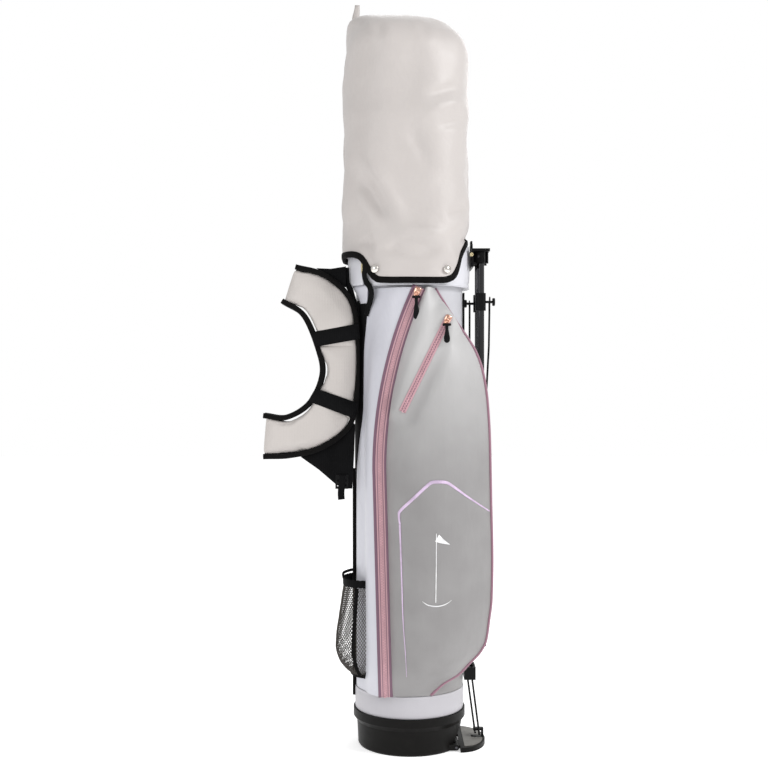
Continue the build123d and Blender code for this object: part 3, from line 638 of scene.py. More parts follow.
def make_pocket():
    """Face and gusset, side panel, and the corded seam with its flange."""
    bend_z = POCKET_FOOT + 60
    zs = [*np.linspace(POCKET_FOOT, bend_z, 20), *np.linspace(bend_z, POCKET_TOP, 140)[1:]]
    ts = [0.5 - 0.5 * math.cos(math.pi * k / 44) for k in range(45)]
    rows = []
    for z in zs:
        x0, x1 = zip_x(z) + TAPE_HALF - 1.5, seam_x(z)
        row = [(mix(x0, x1, t), face_y(mix(x0, x1, t), z), z) for t in ts]
        row[-1] = (x1, seam_y(z), z)
        rows.append(row + gusset(z))
    add_piece("pocket_face", skin(rows, False, False), POCKET_CLOTH,
              replaces=["apparel_pocket"])
    panel = skin([side_panel(z) for z in zs], False, False)
    add_piece("pocket_side_panel", panel, PANEL_CLOTH)
    heights = np.linspace(POCKET_FOOT + 1, POCKET_TOP - 1, 150)
    seam = [(seam_x(z) + 0.6, seam_y(z) - 0.4, z) for z in heights]
    cord = swept(seam, OUT, oval(2.3, 2.3, 10))
    flange = swept([(x - 2.2, y - 0.2, z) for x, y, z in seam], OUT, oval(2.6, 0.9, 10))
    add_piece("pocket_piping_cord", joined([cord, flange]), PIPING, replaces=["pocket_piping"])


make_pocket()


def tube_point(angle, z, lift):
    """Point at a height and an angle about the bag, lift mm off the tube."""
    r = BAG_R + lift
    return np.array((r * math.cos(angle), r * math.sin(angle), z))


def angle_at(x, radius):
    """Angle of the front place on a round wall at a given X."""
    return 2 * math.pi - math.acos(max(min(x / radius, 1), -1))


def wrap_patch(left, right, lift, thick, zs, steps=10):
    """A strap patch lying on the tube between two X limits given for each height."""
    outer, inner = [], []
    for z in zs:
        a0, a1 = angle_at(left(z), BAG_R), angle_at(right(z), BAG_R)
        rise = lift(z) if callable(lift) else lift
        outer.append([tube_point(mix(a0, a1, k / steps), z, rise + thick) for k in range(steps + 1)])
        inner.append([tube_point(mix(a0, a1, k / steps), z, rise) for k in range(steps + 1)])
    return outer, inner


def make_pocket_foot():
    """Grey cloth on the tube below the pocket's rounded end."""
    patch = wrap_patch(lambda z: seam_x(z) - 3, lambda z: 92.9, 0.1, 0.5,
                       np.linspace(POCKET_FOOT - 1, POCKET_FOOT + 74, 30))
    add_piece("pocket_foot_cloth", thick_skin(patch), POCKET_CLOTH)


make_pocket_foot()


# ---- zippers ----------------------------------------------
def make_zipper(word, path, up, half, edge):
    """Tape, any corded edges, a stitch line on each side and two rows of teeth."""
    cloth = swept(path, up, band_section(half * 2 - 2 * edge, 1.0, (0, 0.5)))
    add_piece(word + "_zip_cloth", cloth, ZIP_PINK, replaces=[word + "_zip_tape"])
    cords, lines = [], []
    for sign in (-1, 1):
        cords.append(swept(path, up, oval(edge, 1.1, 12, (sign * (half - edge * 0.9), 0.4), 3)))
        lines.append(swept(path, up, oval(0.5, 0.5, 8, (sign * half * 0.36, 1.1))))
    if edge > 1:
        add_piece(word + "_zip_edges", joined(cords), ZIP_MAUVE)
    add_piece(word + "_zip_stitch", joined(lines), ZIP_MAUVE)
    add_piece(word + "_zip_teeth", teeth(path, up), ZIP_TEETH, flat=True)


def teeth(path, up, pitch=2.2):
    """Small blocks along a path, leaning to one side and the other in turn."""
    steps = np.linalg.norm(np.diff(path, axis=0), axis=1)
    along = np.concatenate(([0], np.cumsum(steps)))
    count = int(along[-1] / pitch)
    samples = np.array([[np.interp(s, along, path[:, i]) for i in range(3)]
                        for s in np.linspace(0, along[-1], count)])
    foot = ((-0.5, -0.75), (2.5, -0.55), (2.5, 0.55), (-0.5, 0.75))
    parts = []
    for k, (p, t, s, n) in enumerate(zip(*frames_along(samples, up))):
        sign = 1 if k % 2 else -1
        parts.append(skin([[p + s * sign * a + t * b + n * h for a, b in foot] for h in (0.9, 2.0)]))
    return joined(parts)


def joint_frame(name):
    """Place of a joint in millimetres, and its axis."""
    joint = JOINTS[name]
    return np.array(joint["pos_m"]) * 1000, np.array(joint["axis"], float)


def rounded_plate(outline, base, down, across, out, low, high, round_mm=0.7):
    """Soft-edged plate from an outline of (down, across) points between two heights."""
    centre = np.mean(np.array(outline), axis=0)
    rows = []
    for h, inset in ((low, round_mm), (low + round_mm, 0), (high - round_mm, 0), (high, round_mm)):
        row = []
        for a, b in outline:
            v = np.array((a, b)) - centre
            length = np.linalg.norm(v)
            v = v * (length - inset) / length + centre
            row.append(base + down * v[0] + across * v[1] + out * h)
        rows.append(row)
    return skin(rows)


RING_MIDDLE = 2.4        # from a slider's middle down to its pull ring's


def mirrored(points):
    """Closed outline from its half on the positive side."""
    return points + [(a, -b) for a, b in reversed(points)]


def make_slider(word, out, length):
    """Slider body with its arch, and a ringed rubber pull that hangs straight down."""
    pivot, axis = joint_frame(word + "_puller_flip")
    across = -axis
    down = unit(np.cross(across, out))
    base = pivot + down * PIVOT_BACK - out * PIVOT_RISE
    shield = mirrored([(-9, 3.0), (-8.4, 4.6), (-6, 5.4), (0, 5.2), (5, 4.0), (8.6, 2.6), (9, 1.2)])
    arch = through([(-5.6, 2.6), (-5.2, 6.4), (-2.4, 7.3), (0.6, 6.6), (1.4, 2.6)], 16)
    parts = [rounded_plate(shield, base, down, across, out, 0.6, 3.3),
             swept([base + down * a + out * h for a, h in arch], across, oval(0.75, 1.3, 8))]
    add_piece(word + "_slider_metal", joined(parts), ROSE_GOLD, word + "_slider",
              replaces=[word + "_slider"])
    hinge = base + down * RING_MIDDLE
    loop = [hinge + down * 3.8 * math.cos(a) + across * 3.3 * math.sin(a) + out * PIVOT_RISE
            for a in np.linspace(0, 2 * math.pi, 25)]
    add_piece(word + "_pull_ring", swept(loop, out, oval(0.8, 0.8, 8), closed=True), ROSE_GOLD,
              word + "_puller")
    down = unit(np.array((0, 0, -1.0)) + out * out[2])
    across = np.cross(out, down)
    base = hinge - down * RING_MIDDLE
    grip = mirrored([(6.6, 2.4), (9, 2.6), (length * 0.42, 2.6), (length * 0.6, 3.8),
                     (length * 0.8, 5.0), (length * 0.93, 4.6), (length, 2.0)])
    cross = mirrored([(6.0, 5.2), (6.4, 6.8), (8.0, 7.2), (9.6, 6.8), (10.2, 5.0)])
    parts = [rounded_plate(grip, base, down, across, out, 3.9, 7.2, 1.0),
             rounded_plate(cross, base, down, across, out, 3.7, 7.4, 1.0)]
    for share in (0.68, 0.76, 0.84):
        at = base + down * (length * share)
        rib = [at + across * b + out * 7.2 for b in np.linspace(-2.6, 2.6, 6)]
        parts.append(swept(rib, out, oval(0.6, 0.35, 8)))
    add_piece(word + "_pull_grip", joined(parts), RUBBER, word + "_puller",
              replaces=[word + "_puller"])


MAIN_PATH = np.array([(zip_x(z), zip_y(z), z) for z in np.linspace(POCKET_TOP, POCKET_FOOT - 1, 120)])
make_zipper("main", MAIN_PATH, OUT, TAPE_HALF, 2.6)
make_slider("main", OUT, 45)

SHORT_PATH = np.array([SHORT_TOP + SHORT_RUN * s for s in np.linspace(-8, SHORT_LENGTH, 40)])
make_zipper("short", SHORT_PATH, SHORT_OUT, 6.5, 0.5)
make_slider("short", SHORT_OUT, 38)


# ---- rain hood --------------------------------------------
HOOD_LOW, HOOD_HIGH = box("hood_shell")
HEM_Z = box("hood_binding")[0][2]
HOOD_TOP = HOOD_HIGH[2]
HOOD_HALF = HOOD_HIGH[1]
HOOD_CORNER = 85         # radius of its plan's corners
HOOD_DOME = 104          # height of the rounded top
BELOW_DOME = 200         # a depth where the sides are straight

# depth below the top, inset of the left, right and front or back outline there
left_inset = profile([(0, 79), (1, 62), (2.4, 44), (6, 23), (15, 6), (28, 1), (98, 0), (500, 0)])
right_inset = profile([(0, 143), (2, 112), (6, 88), (15, 52), (30, 27), (56, 10), (98, 0.5), (500, 0)])
front_inset = profile([(0, 109), (3, 100), (9, 83), (19, 54), (27, 37), (36, 22), (48, 10), (70, 0.5),
                       (500, 0)])

# X, height of the lower edge over its lowest stretch
HEM_EDGE = through([(-117, 47), (-96, 45), (-82, 38), (-70, 19), (-58, 3), (-40, 0), (0, 0),
                    (48, 0), (62, 2), (74, 9), (88, 31), (98, 57), (105, 81)], 160)


def hem_z(x):
    """Height of the hood's lower edge: low flaps at front and back, higher at the sides."""
    return float(np.interp(x, HEM_EDGE[:, 0], HEM_EDGE[:, 1])) + HEM_Z


def hood_ring(depth, inset, columns):
    """Rounded rectangle of the hood's plan at a depth below its top."""
    x0, x1 = HOOD_LOW[0] + left_inset(depth) + inset, HOOD_HIGH[0] - right_inset(depth) - inset
    half = HOOD_HALF - front_inset(depth) - inset
    centre, reach = (x0 + x1) / 2, (x1 - x0) / 2
    radius = min(HOOD_CORNER - inset, reach * 0.96, half * 0.96)
    ring = []
    for a, b, turn in columns:
        cx, cy = a * (reach - radius), b * (half - radius)
        ring.append((centre + cx + radius * math.cos(turn), cy + radius * math.sin(turn)))
    return ring


def hood_columns():
    """Places round the plan: share along each straight side, and the corner's turn."""
    columns = []
    corners = ((1, -1, -math.pi / 2), (1, 1, 0.0), (-1, 1, math.pi / 2), (-1, -1, math.pi))
    sides = (14, 18, 14, 18)
    for index, (cx, cy, start) in enumerate(corners):
        for k in range(22):
            columns.append((cx, cy, start + math.pi / 2 * k / 22))
        nx, ny, _ = corners[(index + 1) % 4]
        for k in range(sides[index]):
            t = k / sides[index]
            columns.append((mix(cx, nx, t), mix(cy, ny, t), start + math.pi / 2))
    return columns


def dent(x, z, start, end, width, depth):
    """A soft valley along a straight line on the hood's front."""
    run = np.array(end) - np.array(start)
    length = math.hypot(*run)
    along = ((x - start[0]) * run[0] + (z - start[1]) * run[1]) / length ** 2
    across = ((x - start[0]) * run[1] - (z - start[1]) * run[0]) / length
    return depth * smooth(1.25 - 2.5 * abs(along - 0.5)) * math.exp(-(across / width) ** 2)


# valleys, and ridges with a negative depth: ends as X and height, half width, depth
FOLDS = [
    ((-108, 1010), (-22, 866), 15, 11.2), ((-88, 1022), (0, 880), 12, -5.2),
    ((-70, 848), (72, 850), 9, 7.2), ((-50, 874), (80, 878), 11, -5.6), ((-16, 862), (24, 853), 5, 6.8),
    ((96, 1130), (18, 1098), 9, 5.2), ((100, 1106), (20, 1072), 8, -4.0), ((104, 1076), (40, 1050), 8, 4.4),
    ((-6, 1058), (40, 975), 12, 4.0), ((-60, 1236), (-44, 1196), 8, 4.4), ((30, 1240), (20, 1200), 8, 4.0),
    ((-92, 870), (-60, 850), 7, 4.8), ((60, 900), (104, 930), 9, 4.4)]
DRAPE_TURN = 980         # height over which the cloth hangs plainer
DRAPE_RADIUS = 110       # turns an angle about the bag into a length along the cloth
DRAPE_X = -6             # the folds stand off this upright line
MOST_OUT = 3.0           # no fold stands out further


def drape(x, y, z):
    """How far a fold stands in or out of the hood's plain surface; the back repeats the front."""
    low = smooth((DRAPE_TURN - z) / 150)
    high = smooth((z - DRAPE_TURN) / 120)
    around = math.atan2(y, x) * DRAPE_RADIUS
    tall = ripple(around, 0, z * 0.3, 52, 8.2) * 2.6
    swag = ripple(around * 0.45, 0, z + 0.35 * around, 40, 2.9)
    broad = ripple(around, 0, z - 0.5 * around, 88, 5.7)
    push = -3.0 + tall * (0.8 + 0.6 * high) + swag * (2.0 + 2.0 * low) + broad * 6.5
    for start, end, width, depth in FOLDS:
        push -= dent(x if y < 0 else -x, z, start, end, width, depth)
    return min(push, MOST_OUT)


def settle(x, y, z, inset=0.6):
    """Draws the right side in above the collar, and keeps the skin outside the collar itself."""
    x -= 9 * smooth((905 - z) / 38) * smooth((x - 70) / 30)
    x += 4 * smooth((z - 1120) / 140) * smooth((-60 - x) / 40)
    r = math.hypot(x, y)
    clear = CUFF_R + 3.0 - inset
    if z < CUFF_HIGH[2] + 5 and r < clear:
        x, y = x * clear / r, y * clear / r
    return x, y, z


def hood_point(x, y, z, fade, inset, drop=0.0):
    """A place of the plain skin with its share of the folds."""
    push = drape(x, y, z) * fade / max(math.hypot(x - DRAPE_X, y), 1)
    return settle(x + (x - DRAPE_X) * push, y + y * push, z - drop, inset)


def hood_skin(columns, inset):
    """Rows of points from the hem up to the middle of the top."""
    rows = []
    ring = hood_ring(BELOW_DOME, inset, columns)
    for t in np.linspace(0, 1, 96):
        row = []
        for x, y in ring:
            z = mix(hem_z(x) + 5, HOOD_TOP - HOOD_DOME, t)
            row.append(hood_point(x, y, z, smooth((z - hem_z(x)) / 28), inset))
        rows.append(row)
    for depth in (92, 79, 67, 56, 46, 37, 29, 22, 16, 11.5, 8, 5.2, 3.2, 1.8, 0.9, 0.3):
        fade = smooth((depth + 12) / 60)
        rows.append([hood_point(x, y, HOOD_TOP - depth, fade, inset, inset)
                     for x, y in hood_ring(depth, inset, columns)])
    return rows


def make_hood():
    """The hood's cloth, an outer and an inner skin joined at the hem, and the hem's binding."""
    columns = hood_columns()
    count = len(columns)
    skins = []
    for inset in (0.6, 2.2):
        rows = hood_skin(columns, inset)
        verts, faces = skin(rows, ends=False)
        verts.append(tuple(np.mean(np.array(rows[-1]), axis=0)))
        top = len(verts) - 1
        faces += [(top - count + c, top - count + (c + 1) % count, top) for c in range(count)]
        skins.append((verts, faces))
    outer, inner = skins
    verts, faces = joined([outer, (inner[0], [tuple(reversed(face)) for face in inner[1]])])
    start = len(outer[0])
    for c in range(count):
        n = (c + 1) % count
        faces.append((n, c, start + c, start + n))
    hood = add_piece("rain_hood", (verts, faces), HOOD_CLOTH, "hood",
                     replaces=["hood_shell"])
    path = [settle(x, y, hem_z(x) + 4.7) for x, y in hood_ring(BELOW_DOME, 1.4, columns)]
    normals = [(math.cos(turn), math.sin(turn), 0) for _, _, turn in columns]
    band = swept(path + path[:1], normals + normals[:1], oval(5.5, 1.9, 14, power=3), closed=True)
    return hood, add_piece("hood_hem_binding", band, BINDING, "hood", replaces=["hood_binding"])


def make_hood_trim():
    """Two domed snaps on the front's corners, and the ribbon tab on top."""
    low, high = box("hood_snaps")
    middle_x = (HOOD_LOW[0] + HOOD_HIGH[0]) / 2
    corner = (HOOD_HIGH[0] - HOOD_LOW[0]) / 2 - HOOD_CORNER
    dome = [(0.2, 6.4), (0.9, 6.8), (1.5, 6.2), (2.0, 5.6), (2.9, 4.6), (3.5, 3.0), (3.8, 1.2), (3.85, 0.1)]
    parts = []
    for side, turn in ((-1, math.radians(19)), (1, math.radians(29))):
        out = np.array((side * math.sin(turn), -math.cos(turn), 0))
        centre = np.array((middle_x + side * corner, HOOD_CORNER - HOOD_HALF, (low[2] + high[2]) / 2))
        parts.append(turned(centre + out * HOOD_CORNER, out, dome, 28))
    snaps = add_piece("domed_snaps", joined(parts), CHROME, "hood", replaces=["hood_snaps"])
    low, high = box("hood_tab")
    rows = []
    for z in np.linspace(low[2] - 6, high[2], 8):
        bend = 1.4 * math.sin((z - low[2]) / 9)
        lean = 5 * smooth((z - low[2]) / 26)
        width = (high[0] - low[0]) * (1 - 0.35 * smooth((z - low[2]) / (high[2] - low[2])))
        rows.append([(low[0] - 3 + a * width + lean, bend + b, z) for a, b in
                     ((0, -0.7), (0.5, -0.8), (1, -0.7), (1, 0.7), (0.5, 0.8), (0, 0.7))])
    return snaps, add_piece("hood_pull_tab", skin(rows), HOOD_CLOTH, "hood",
                            replaces=["hood_tab"])


RAIN_HOOD, HEM_BINDING = make_hood()
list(make_hood_trim())


def soft_web(outline, y, thick):
    """A flat web panel with a rounded rim, from an outline in X and Z."""
    centre = np.mean(np.array(outline), axis=0)
    rows = []
    for depth, inset in ((0, 1.2), (0.4, 0.2), (thick - 0.4, 0.2), (thick, 1.2)):
        rows.append([(x + (centre[0] - x) * inset / 40, y + depth, z + (centre[1] - z) * inset / 40)
                     for x, z in outline])
    return skin(rows)


def make_straps():
    """Black spine webbing and piping on the bag's left, and the loops on the collar."""
    right = profile([(440, -92.9), (462, -92), (520, -87), (586, -79), (674, -78), (735, -73), (768, -70)])
    patch = wrap_patch(lambda z: -92.95, right, 0.2, 1.5, np.linspace(441, 768, 60))
    add_piece("spine_webbing", thick_skin(patch), WEBBING)
    ravel = [(-74, 838, 25), (-76, 822, 21), (-77, 808, 18.5), (-74, 797, 17), (-68, 788, 15),
             (-65, 778, 11), (-67, 766, 7), (-71, 754, 4), (-74, 742, 2.5)]
    path = [tube_point(angle_at(x, BAG_R + lift), z, lift) for x, z, lift in through(ravel, 40)]
    strap = swept(path, [p * (1, 1, 0) for p in path], oval(5.2, 1.5, 12, power=4))
    add_piece("hanging_strap", strap, WEBBING)
    spine = [tube_point(math.pi + 0.06 + 0.03 * math.sin(z / 90), z, 2.0) for z in np.linspace(84, 478, 70)]
    add_piece("spine_piping", swept(spine, (-1, 0, 0), oval(3.2, 3.8, 12)), BINDING)
    lift = CUFF_R - BAG_R + 1.0
    patch = wrap_patch(lambda z: -90.5, lambda z: -68 - 3 * smooth((z - 800) / 40), lift, 2.2,
                       np.linspace(792, 848, 14))
    add_piece("collar_loop", thick_skin(patch), CUFF_CLOTH)
    patch = wrap_patch(lambda z: -84 + 0.16 * (785 - z), lambda z: -64 - 0.28 * (785 - z),
                       lambda z: 3 + 8 * smooth((z - 762) / 30), 1.6, np.linspace(762, 792, 8))
    add_piece("collar_tab", thick_skin(patch), PANEL_CLOTH)
    anchor = [(-112, 824), (-104, 825), (-103, 800), (-97, 788), (-88, 758), (-84, 742), (-89, 742),
              (-94, 756), (-101, 776), (-110, 792)]
    web = soft_web(anchor, box("harness_gussets")[0][1] + 4.2, 2)
    add_piece("harness_anchor", web, WEBBING)
    clip = [tube_point(angle_at(-69, BAG_R), z, lift + 2.6) for z in np.linspace(812, 842, 12)]
    add_piece("collar_clip", swept(clip, clip[0] * (1, 1, 0), oval(1.6, 1.0, 10)), BRASS)


make_straps()


# ---- shoulder harness -------------------------------------
NEAR_LOW = box("middle_pads")[0][1]
FAR_HIGH = box("middle_pads")[1][1]
NEAR_Y = (NEAR_LOW, NEAR_LOW + 20)
FAR_Y = (FAR_HIGH - 18, FAR_HIGH)
OUTER_EDGE = [(-195, 825), (-146, 811), (-102, 771), (-88, 706), (-88, 630), (-102, 556),
              (-150, 517), (-203, 503), (-250, 501)]
INNER_EDGE = [(-218, 767), (-181, 742), (-156, 683), (-150, 640), (-171, 593), (-211, 568), (-250, 571)]


EDGE_COUNT = 80          # points along each edge of the yoke


def edge_curve(points, count=EDGE_COUNT):
    """Evenly spaced points of an edge of the yoke."""
    flat = through([(x, 0, z) for x, z in points], count)
    steps = np.concatenate(([0], np.cumsum(np.linalg.norm(np.diff(flat, axis=0), axis=1))))
    even = np.linspace(0, steps[-1], count)
    return np.array([[np.interp(s, steps, flat[:, i]) for i in range(3)] for s in even])


OUTER = edge_curve(OUTER_EDGE)
INNER = edge_curve(INNER_EDGE)


def band_height(x, upper, share):
    """Height of a cross band at an X; share goes from its lower to its upper edge."""
    low, high = ((683, 706), (709, 733)) if upper else ((602, 553), (628, 583))
    t = (x + 190) / 130
    return mix(mix(low[0], low[1], t), mix(high[0], high[1], t), share)


def pad_outline(outer_span, inner_span, inset):
    """Sides of part of the yoke, inset from its bound edges; spans are shares of each edge."""
    last = EDGE_COUNT - 1
    outer = OUTER[int(outer_span[0] * last):int(outer_span[1] * last) + 1]
    inner = INNER[int(inner_span[0] * last):int(inner_span[1] * last) + 1]
    sides = []
    for edge, other in ((outer, inner), (inner, outer)):
        side = []
        for k, p in enumerate(edge):
            q = other[min(int(k * len(other) / len(edge)), len(other) - 1)]
            moved = p + unit(q - p) * inset
            side.append((moved[0], moved[2]))
        sides.append(side)
    return sides


def prism(outline, low_y, high_y):
    """Closed slab from an outline in X and Z."""
    return skin([[(x, y, z) for x, z in outline] for y in (high_y, low_y)])


def apply_all(obj):
    """Applies an object's modifiers in their order."""
    for other in bpy.context.view_layer.objects:
        other.select_set(False)
    obj.select_set(True)
    bpy.context.view_layer.objects.active = obj
    for modifier in list(obj.modifiers):
        bpy.ops.object.modifier_apply(modifier=modifier.name)


def plump(obj, voxel=4.0, pressure=4.0, frames=20, cap=5.0, smooth_rounds=6):
    """Fills a slab out into a soft pad by a short cloth simulation."""
    remesh = obj.modifiers.new("remesh", "REMESH")
    remesh.mode = "VOXEL"
    remesh.voxel_size = voxel * MM
    apply_all(obj)
    soften = obj.modifiers.new("soften", "SMOOTH")
    soften.factor, soften.iterations = 0.6, smooth_rounds
    apply_all(obj)
    start = [v.co.copy() for v in obj.data.vertices]
    cloth = obj.modifiers.new("cloth", "CLOTH")
    cloth.settings.quality = 6
    cloth.settings.use_pressure = True
    cloth.settings.uniform_pressure_force = pressure
    cloth.settings.effector_weights.gravity = 0
    cloth.settings.tension_stiffness = 12
    cloth.settings.bending_stiffness = 0.6
    scene = bpy.context.scene
    for frame_number in range(1, frames + 1):
        scene.frame_set(frame_number)
    bpy.context.view_layer.update()
    apply_all(obj)
    scene.frame_set(1)
    for vertex, rest in zip(obj.data.vertices, start):
        move = vertex.co - rest
        if move.length > cap * MM:
            vertex.co = rest + move.normalized() * cap * MM
    subdivide = obj.modifiers.new("subdivide", "SUBSURF")
    subdivide.levels = subdivide.render_levels = 1
    apply_all(obj)
    for face in obj.data.polygons:
        face.use_smooth = True


SWING_PIVOT = [c * 1000 for c in JOINTS["harness_swing"]["pos_m"][:2]]
SWING_TURNS = [math.radians(a) for a in (-20, -10, 0, 6, 11)]
CLEAR_R = BAG_R + 3.2      # tube, spine webbing and a little room


NEVER_MEETS_X = -112       # left of here nothing of the harness comes near the bag


def clear_of_bag(obj):
    """Draws a harness piece back where it would cut into the bag anywhere in its swing."""
    px, py = SWING_PIVOT
    for vertex in obj.data.vertices:
        x, y = vertex.co.x / MM, vertex.co.y / MM
        if x < NEVER_MEETS_X:
            continue
        for turn in SWING_TURNS:
            c, s = math.cos(turn), math.sin(turn)
            tx, ty = px + c * (x - px) - s * (y - py), py + s * (x - px) + c * (y - py)
            short = CLEAR_R - math.hypot(tx, ty)
            if short > 0:
                x -= short / max(-tx / CLEAR_R, 0.3)
        vertex.co.x = x * MM


def make_pad(name, outer_span, inner_span, folded, node):
    """One padded panel of the yoke on both layers, folded over at an arm's end."""
    outer, inner = pad_outline(outer_span, inner_span, 2.6)
    outline = outer + inner[::-1]
    parts = [prism(outline, NEAR_Y[0] + 4.5, NEAR_Y[1] - 4.5), prism(outline, FAR_Y[0] + 4, FAR_Y[1] - 4)]
    if folded:
        end = slice(0, 2) if folded == "start" else slice(-2, None)
        parts.append(prism(outer[end] + inner[end][::-1], NEAR_Y[0] + 5, FAR_Y[1] - 5))
    pad = add_piece(name, joined(parts), PAD_CLOTH, "harness", replaces=[node])
    plump(pad)
    clear_of_bag(pad)


def make_pads():
    """Three padded panels on each layer, with bound edges and two cross bands."""
    make_pad("upper_shoulder_pad", (0.0, 0.41), (0.0, 0.37), "start", "upper_pad")
    make_pad("middle_shoulder_pads", (0.385, 0.665), (0.35, 0.63), None, "middle_pads")
    make_pad("lower_shoulder_pad", (0.65, 1.0), (0.61, 1.0), "stop", "lower_pad")
    strips, bands = [], []
    for low, high in (NEAR_Y, FAR_Y):
        for edge in (OUTER, INNER):
            path = [(p[0], (low + high) / 2 - 2, p[2]) for p in edge]
            strips.append(swept(path, OUT, oval(4.6, 6.6, 14, power=3)))
        bands += [band_loop(upper, low - 0.6, high + 0.4) for upper in (True, False)]
    clear_of_bag(add_piece("yoke_binding", joined(strips), BINDING, "harness"))
    clear_of_bag(add_piece("yoke_cross_bands", joined(bands), WEBBING, "harness",
                           replaces=["cross_bands"]))


def band_loop(upper, low_y, high_y):
    """A strap right round one layer of the yoke."""
    lines = []
    for share, depth in ((0, low_y), (0.5, low_y - 0.4), (1, low_y),
                         (1, high_y), (0.5, high_y + 0.4), (0, high_y)):
        ends = []
        for edge, past in ((INNER, -3.6), (OUTER, 3.2)):
            gaps = [abs(p[2] - band_height(p[0], upper, share)) for p in edge]
            ends.append(edge[int(np.argmin(gaps))][0] + past)
        lines.append([(x, depth, band_height(x, upper, share)) for x in np.linspace(*ends, 14)])
    return skin(list(zip(*lines)))


def make_gussets():
    """Webs at the yoke's upper and lower ends, and the tail of webbing."""
    y = box("harness_gussets")[0][1]
    top = [(-160, 823), (-135, 822), (-109, 826), (-109, 790), (-122, 795), (-140, 810)]
    bottom = [(-186, 509), (-186, 500), (-155, 478), (-126, 453), (-112, 446), (-98, 446), (-95, 500),
              (-93, 556), (-99, 562), (-114, 536), (-140, 519), (-165, 511)]
    webs = joined([soft_web(top, y, 3), soft_web(bottom, y, 3)])
    clear_of_bag(add_piece("harness_webs", webs, WEBBING, "harness", replaces=["harness_gussets"]))
    low, high = box("tail_strap")
    middle = (low + high) / 2
    path = [(middle[0] + 1.2 * math.sin(z / 9), middle[1] + 0.8 * math.sin(z / 7), z)
            for z in np.linspace(low[2], high[2], 16)]
    tail = swept(path, OUT, band_section(11.5, 1.3))
    add_piece("tail_webbing", tail, WEBBING, "harness", replaces=["tail_strap"])


make_pads()
make_gussets()


# ---- bottle net -------------------------------------------
NET_LOW, NET_HIGH = box("bottle_net")
NET_FOOT = NET_LOW[2] + 12
NET_X, NET_Y = -79, -12      # upright line that the net stands round
NET_ENDS = math.radians(101), math.radians(302)
net_middle = profile([(0, -76), (0.32, -82), (1, -79)])
net_reach = profile([(0, 22), (0.06, 33), (0.16, 42), (0.32, 46), (0.65, 41), (1, 35)])
net_depth = profile([(0, 38), (0.12, 46), (0.32, 51), (1, 47.5)])


def net_point(angle, share, lift=0.0):
    """Point on the net's baggy outline; angles near pi face away from the bag."""
    z = mix(NET_FOOT, NET_HIGH[2], share)
    sag = 1.0 + 0.02 * ripple(math.cos(angle) * 40, math.sin(angle) * 40, z, 26, 3.3)
    x = net_middle(share) + (net_reach(share) * sag + lift) * math.cos(angle)
    y = NET_Y + (net_depth(share) * sag + lift) * math.sin(angle)
    r = math.hypot(x, y)
    if r < BAG_R + 1.2:
        x, y = x * (BAG_R + 1.2) / r, y * (BAG_R + 1.2) / r
    return np.array((x, y, z))


def net_line(path, section):
    """A cord or tape along the net, facing away from the net's middle."""
    return swept(path, [np.array((p[0] - NET_X, p[1] - NET_Y, 0.01)) for p in path], section)


def net_strands(count=34, steps=60, lean=0.66):
    """Two families of cords that climb the net and lean to either side."""
    first, last = NET_ENDS
    strands = []
    for family in (1, -1):
        for k in range(-int(count * 0.9), count * 2):
            path = []
            for share in (j / steps for j in range(steps + 1)):
                angle = first + (last - first) * k / count + family * lean * share * (last - first)
                if first <= angle <= last:
                    path.append(net_point(angle, share, 0.25 * family))
            if len(path) > 3:
                strands.append(net_line(path, oval(0.5, 0.5, 5)))
    return strands


def make_net():
    """The net's cords, its bound edges and foot, and the elastic top with its loop."""
    first, last = NET_ENDS
    add_piece("bottle_net_mesh", joined(net_strands()), NET_CORD, replaces=["bottle_net"])
    edges = []
    for angle, width in ((first, 4.4), (last, 6.0), (math.radians(252), 6.4)):
        path = [net_point(angle, share, 0.8) for share in np.linspace(0, 1, 30)]
        edges.append(net_line(path, band_section(width, 1.6)))
    foot = [net_point(a, 0.012, 0.4) for a in np.linspace(first, last, 50)]
    edges.append(swept(foot, (0, 0, 1), oval(1.6, 3.2, 8)))
    add_piece("net_binding", joined(edges), BINDING)
    low, high = box("bottle_elastic")
    hoop = []
    for a in np.linspace(first, last, 60):
        p = net_point(a, 1.0, 0.6)
        hoop.append((p[0], p[1], low[2] + 7 + 0.6 * math.sin(a * 30)))
    loop_path = through([(-113, -16, low[2] + 8), (-115, -14, low[2] + 18), (-110, -12, high[2] - 3),
                         (-99, -12, high[2]), (-94.6, -12, high[2] - 2)], 24)
    parts = [swept(hoop, (0, 0, 1), band_section(2.2, 13)), swept(loop_path, (0, 1, 0), band_section(4.2, 9))]
    add_piece("net_elastic", joined(parts), WEBBING, replaces=["bottle_elastic"])


make_net()


# ---- rear pocket, handle ----------------------------------
BALL_LOW, BALL_HIGH = box("ball_pocket")
BALL_ZIP = box("ball_zip_tape")


BALL_HALF, _, BALL_TALL = (BALL_HIGH - BALL_LOW) / 2
BALL_MIDDLE = (BALL_HIGH[2] + BALL_LOW[2]) / 2


def ball_ring(inset, y, radius, count=96):
    """Rounded rectangle at a depth of the ball pocket."""
    points = []
    w, h = BALL_HALF - inset - radius, BALL_TALL - inset - radius
    for k in range(count):
        a = 2 * math.pi * (k + 0.5) / count
        c, s = math.cos(a), math.sin(a)
        scale = 1 / max(abs(c) / (w + radius), abs(s) / (h + radius))
        x = min(max(c * scale, -w), w)
        z = min(max(s * scale, -h), h)
        d = math.hypot(c * scale - x, s * scale - z) or 1
        points.append((x + (c * scale - x) / d * radius, y, BALL_MIDDLE + z + (s * scale - z) / d * radius))
    return points


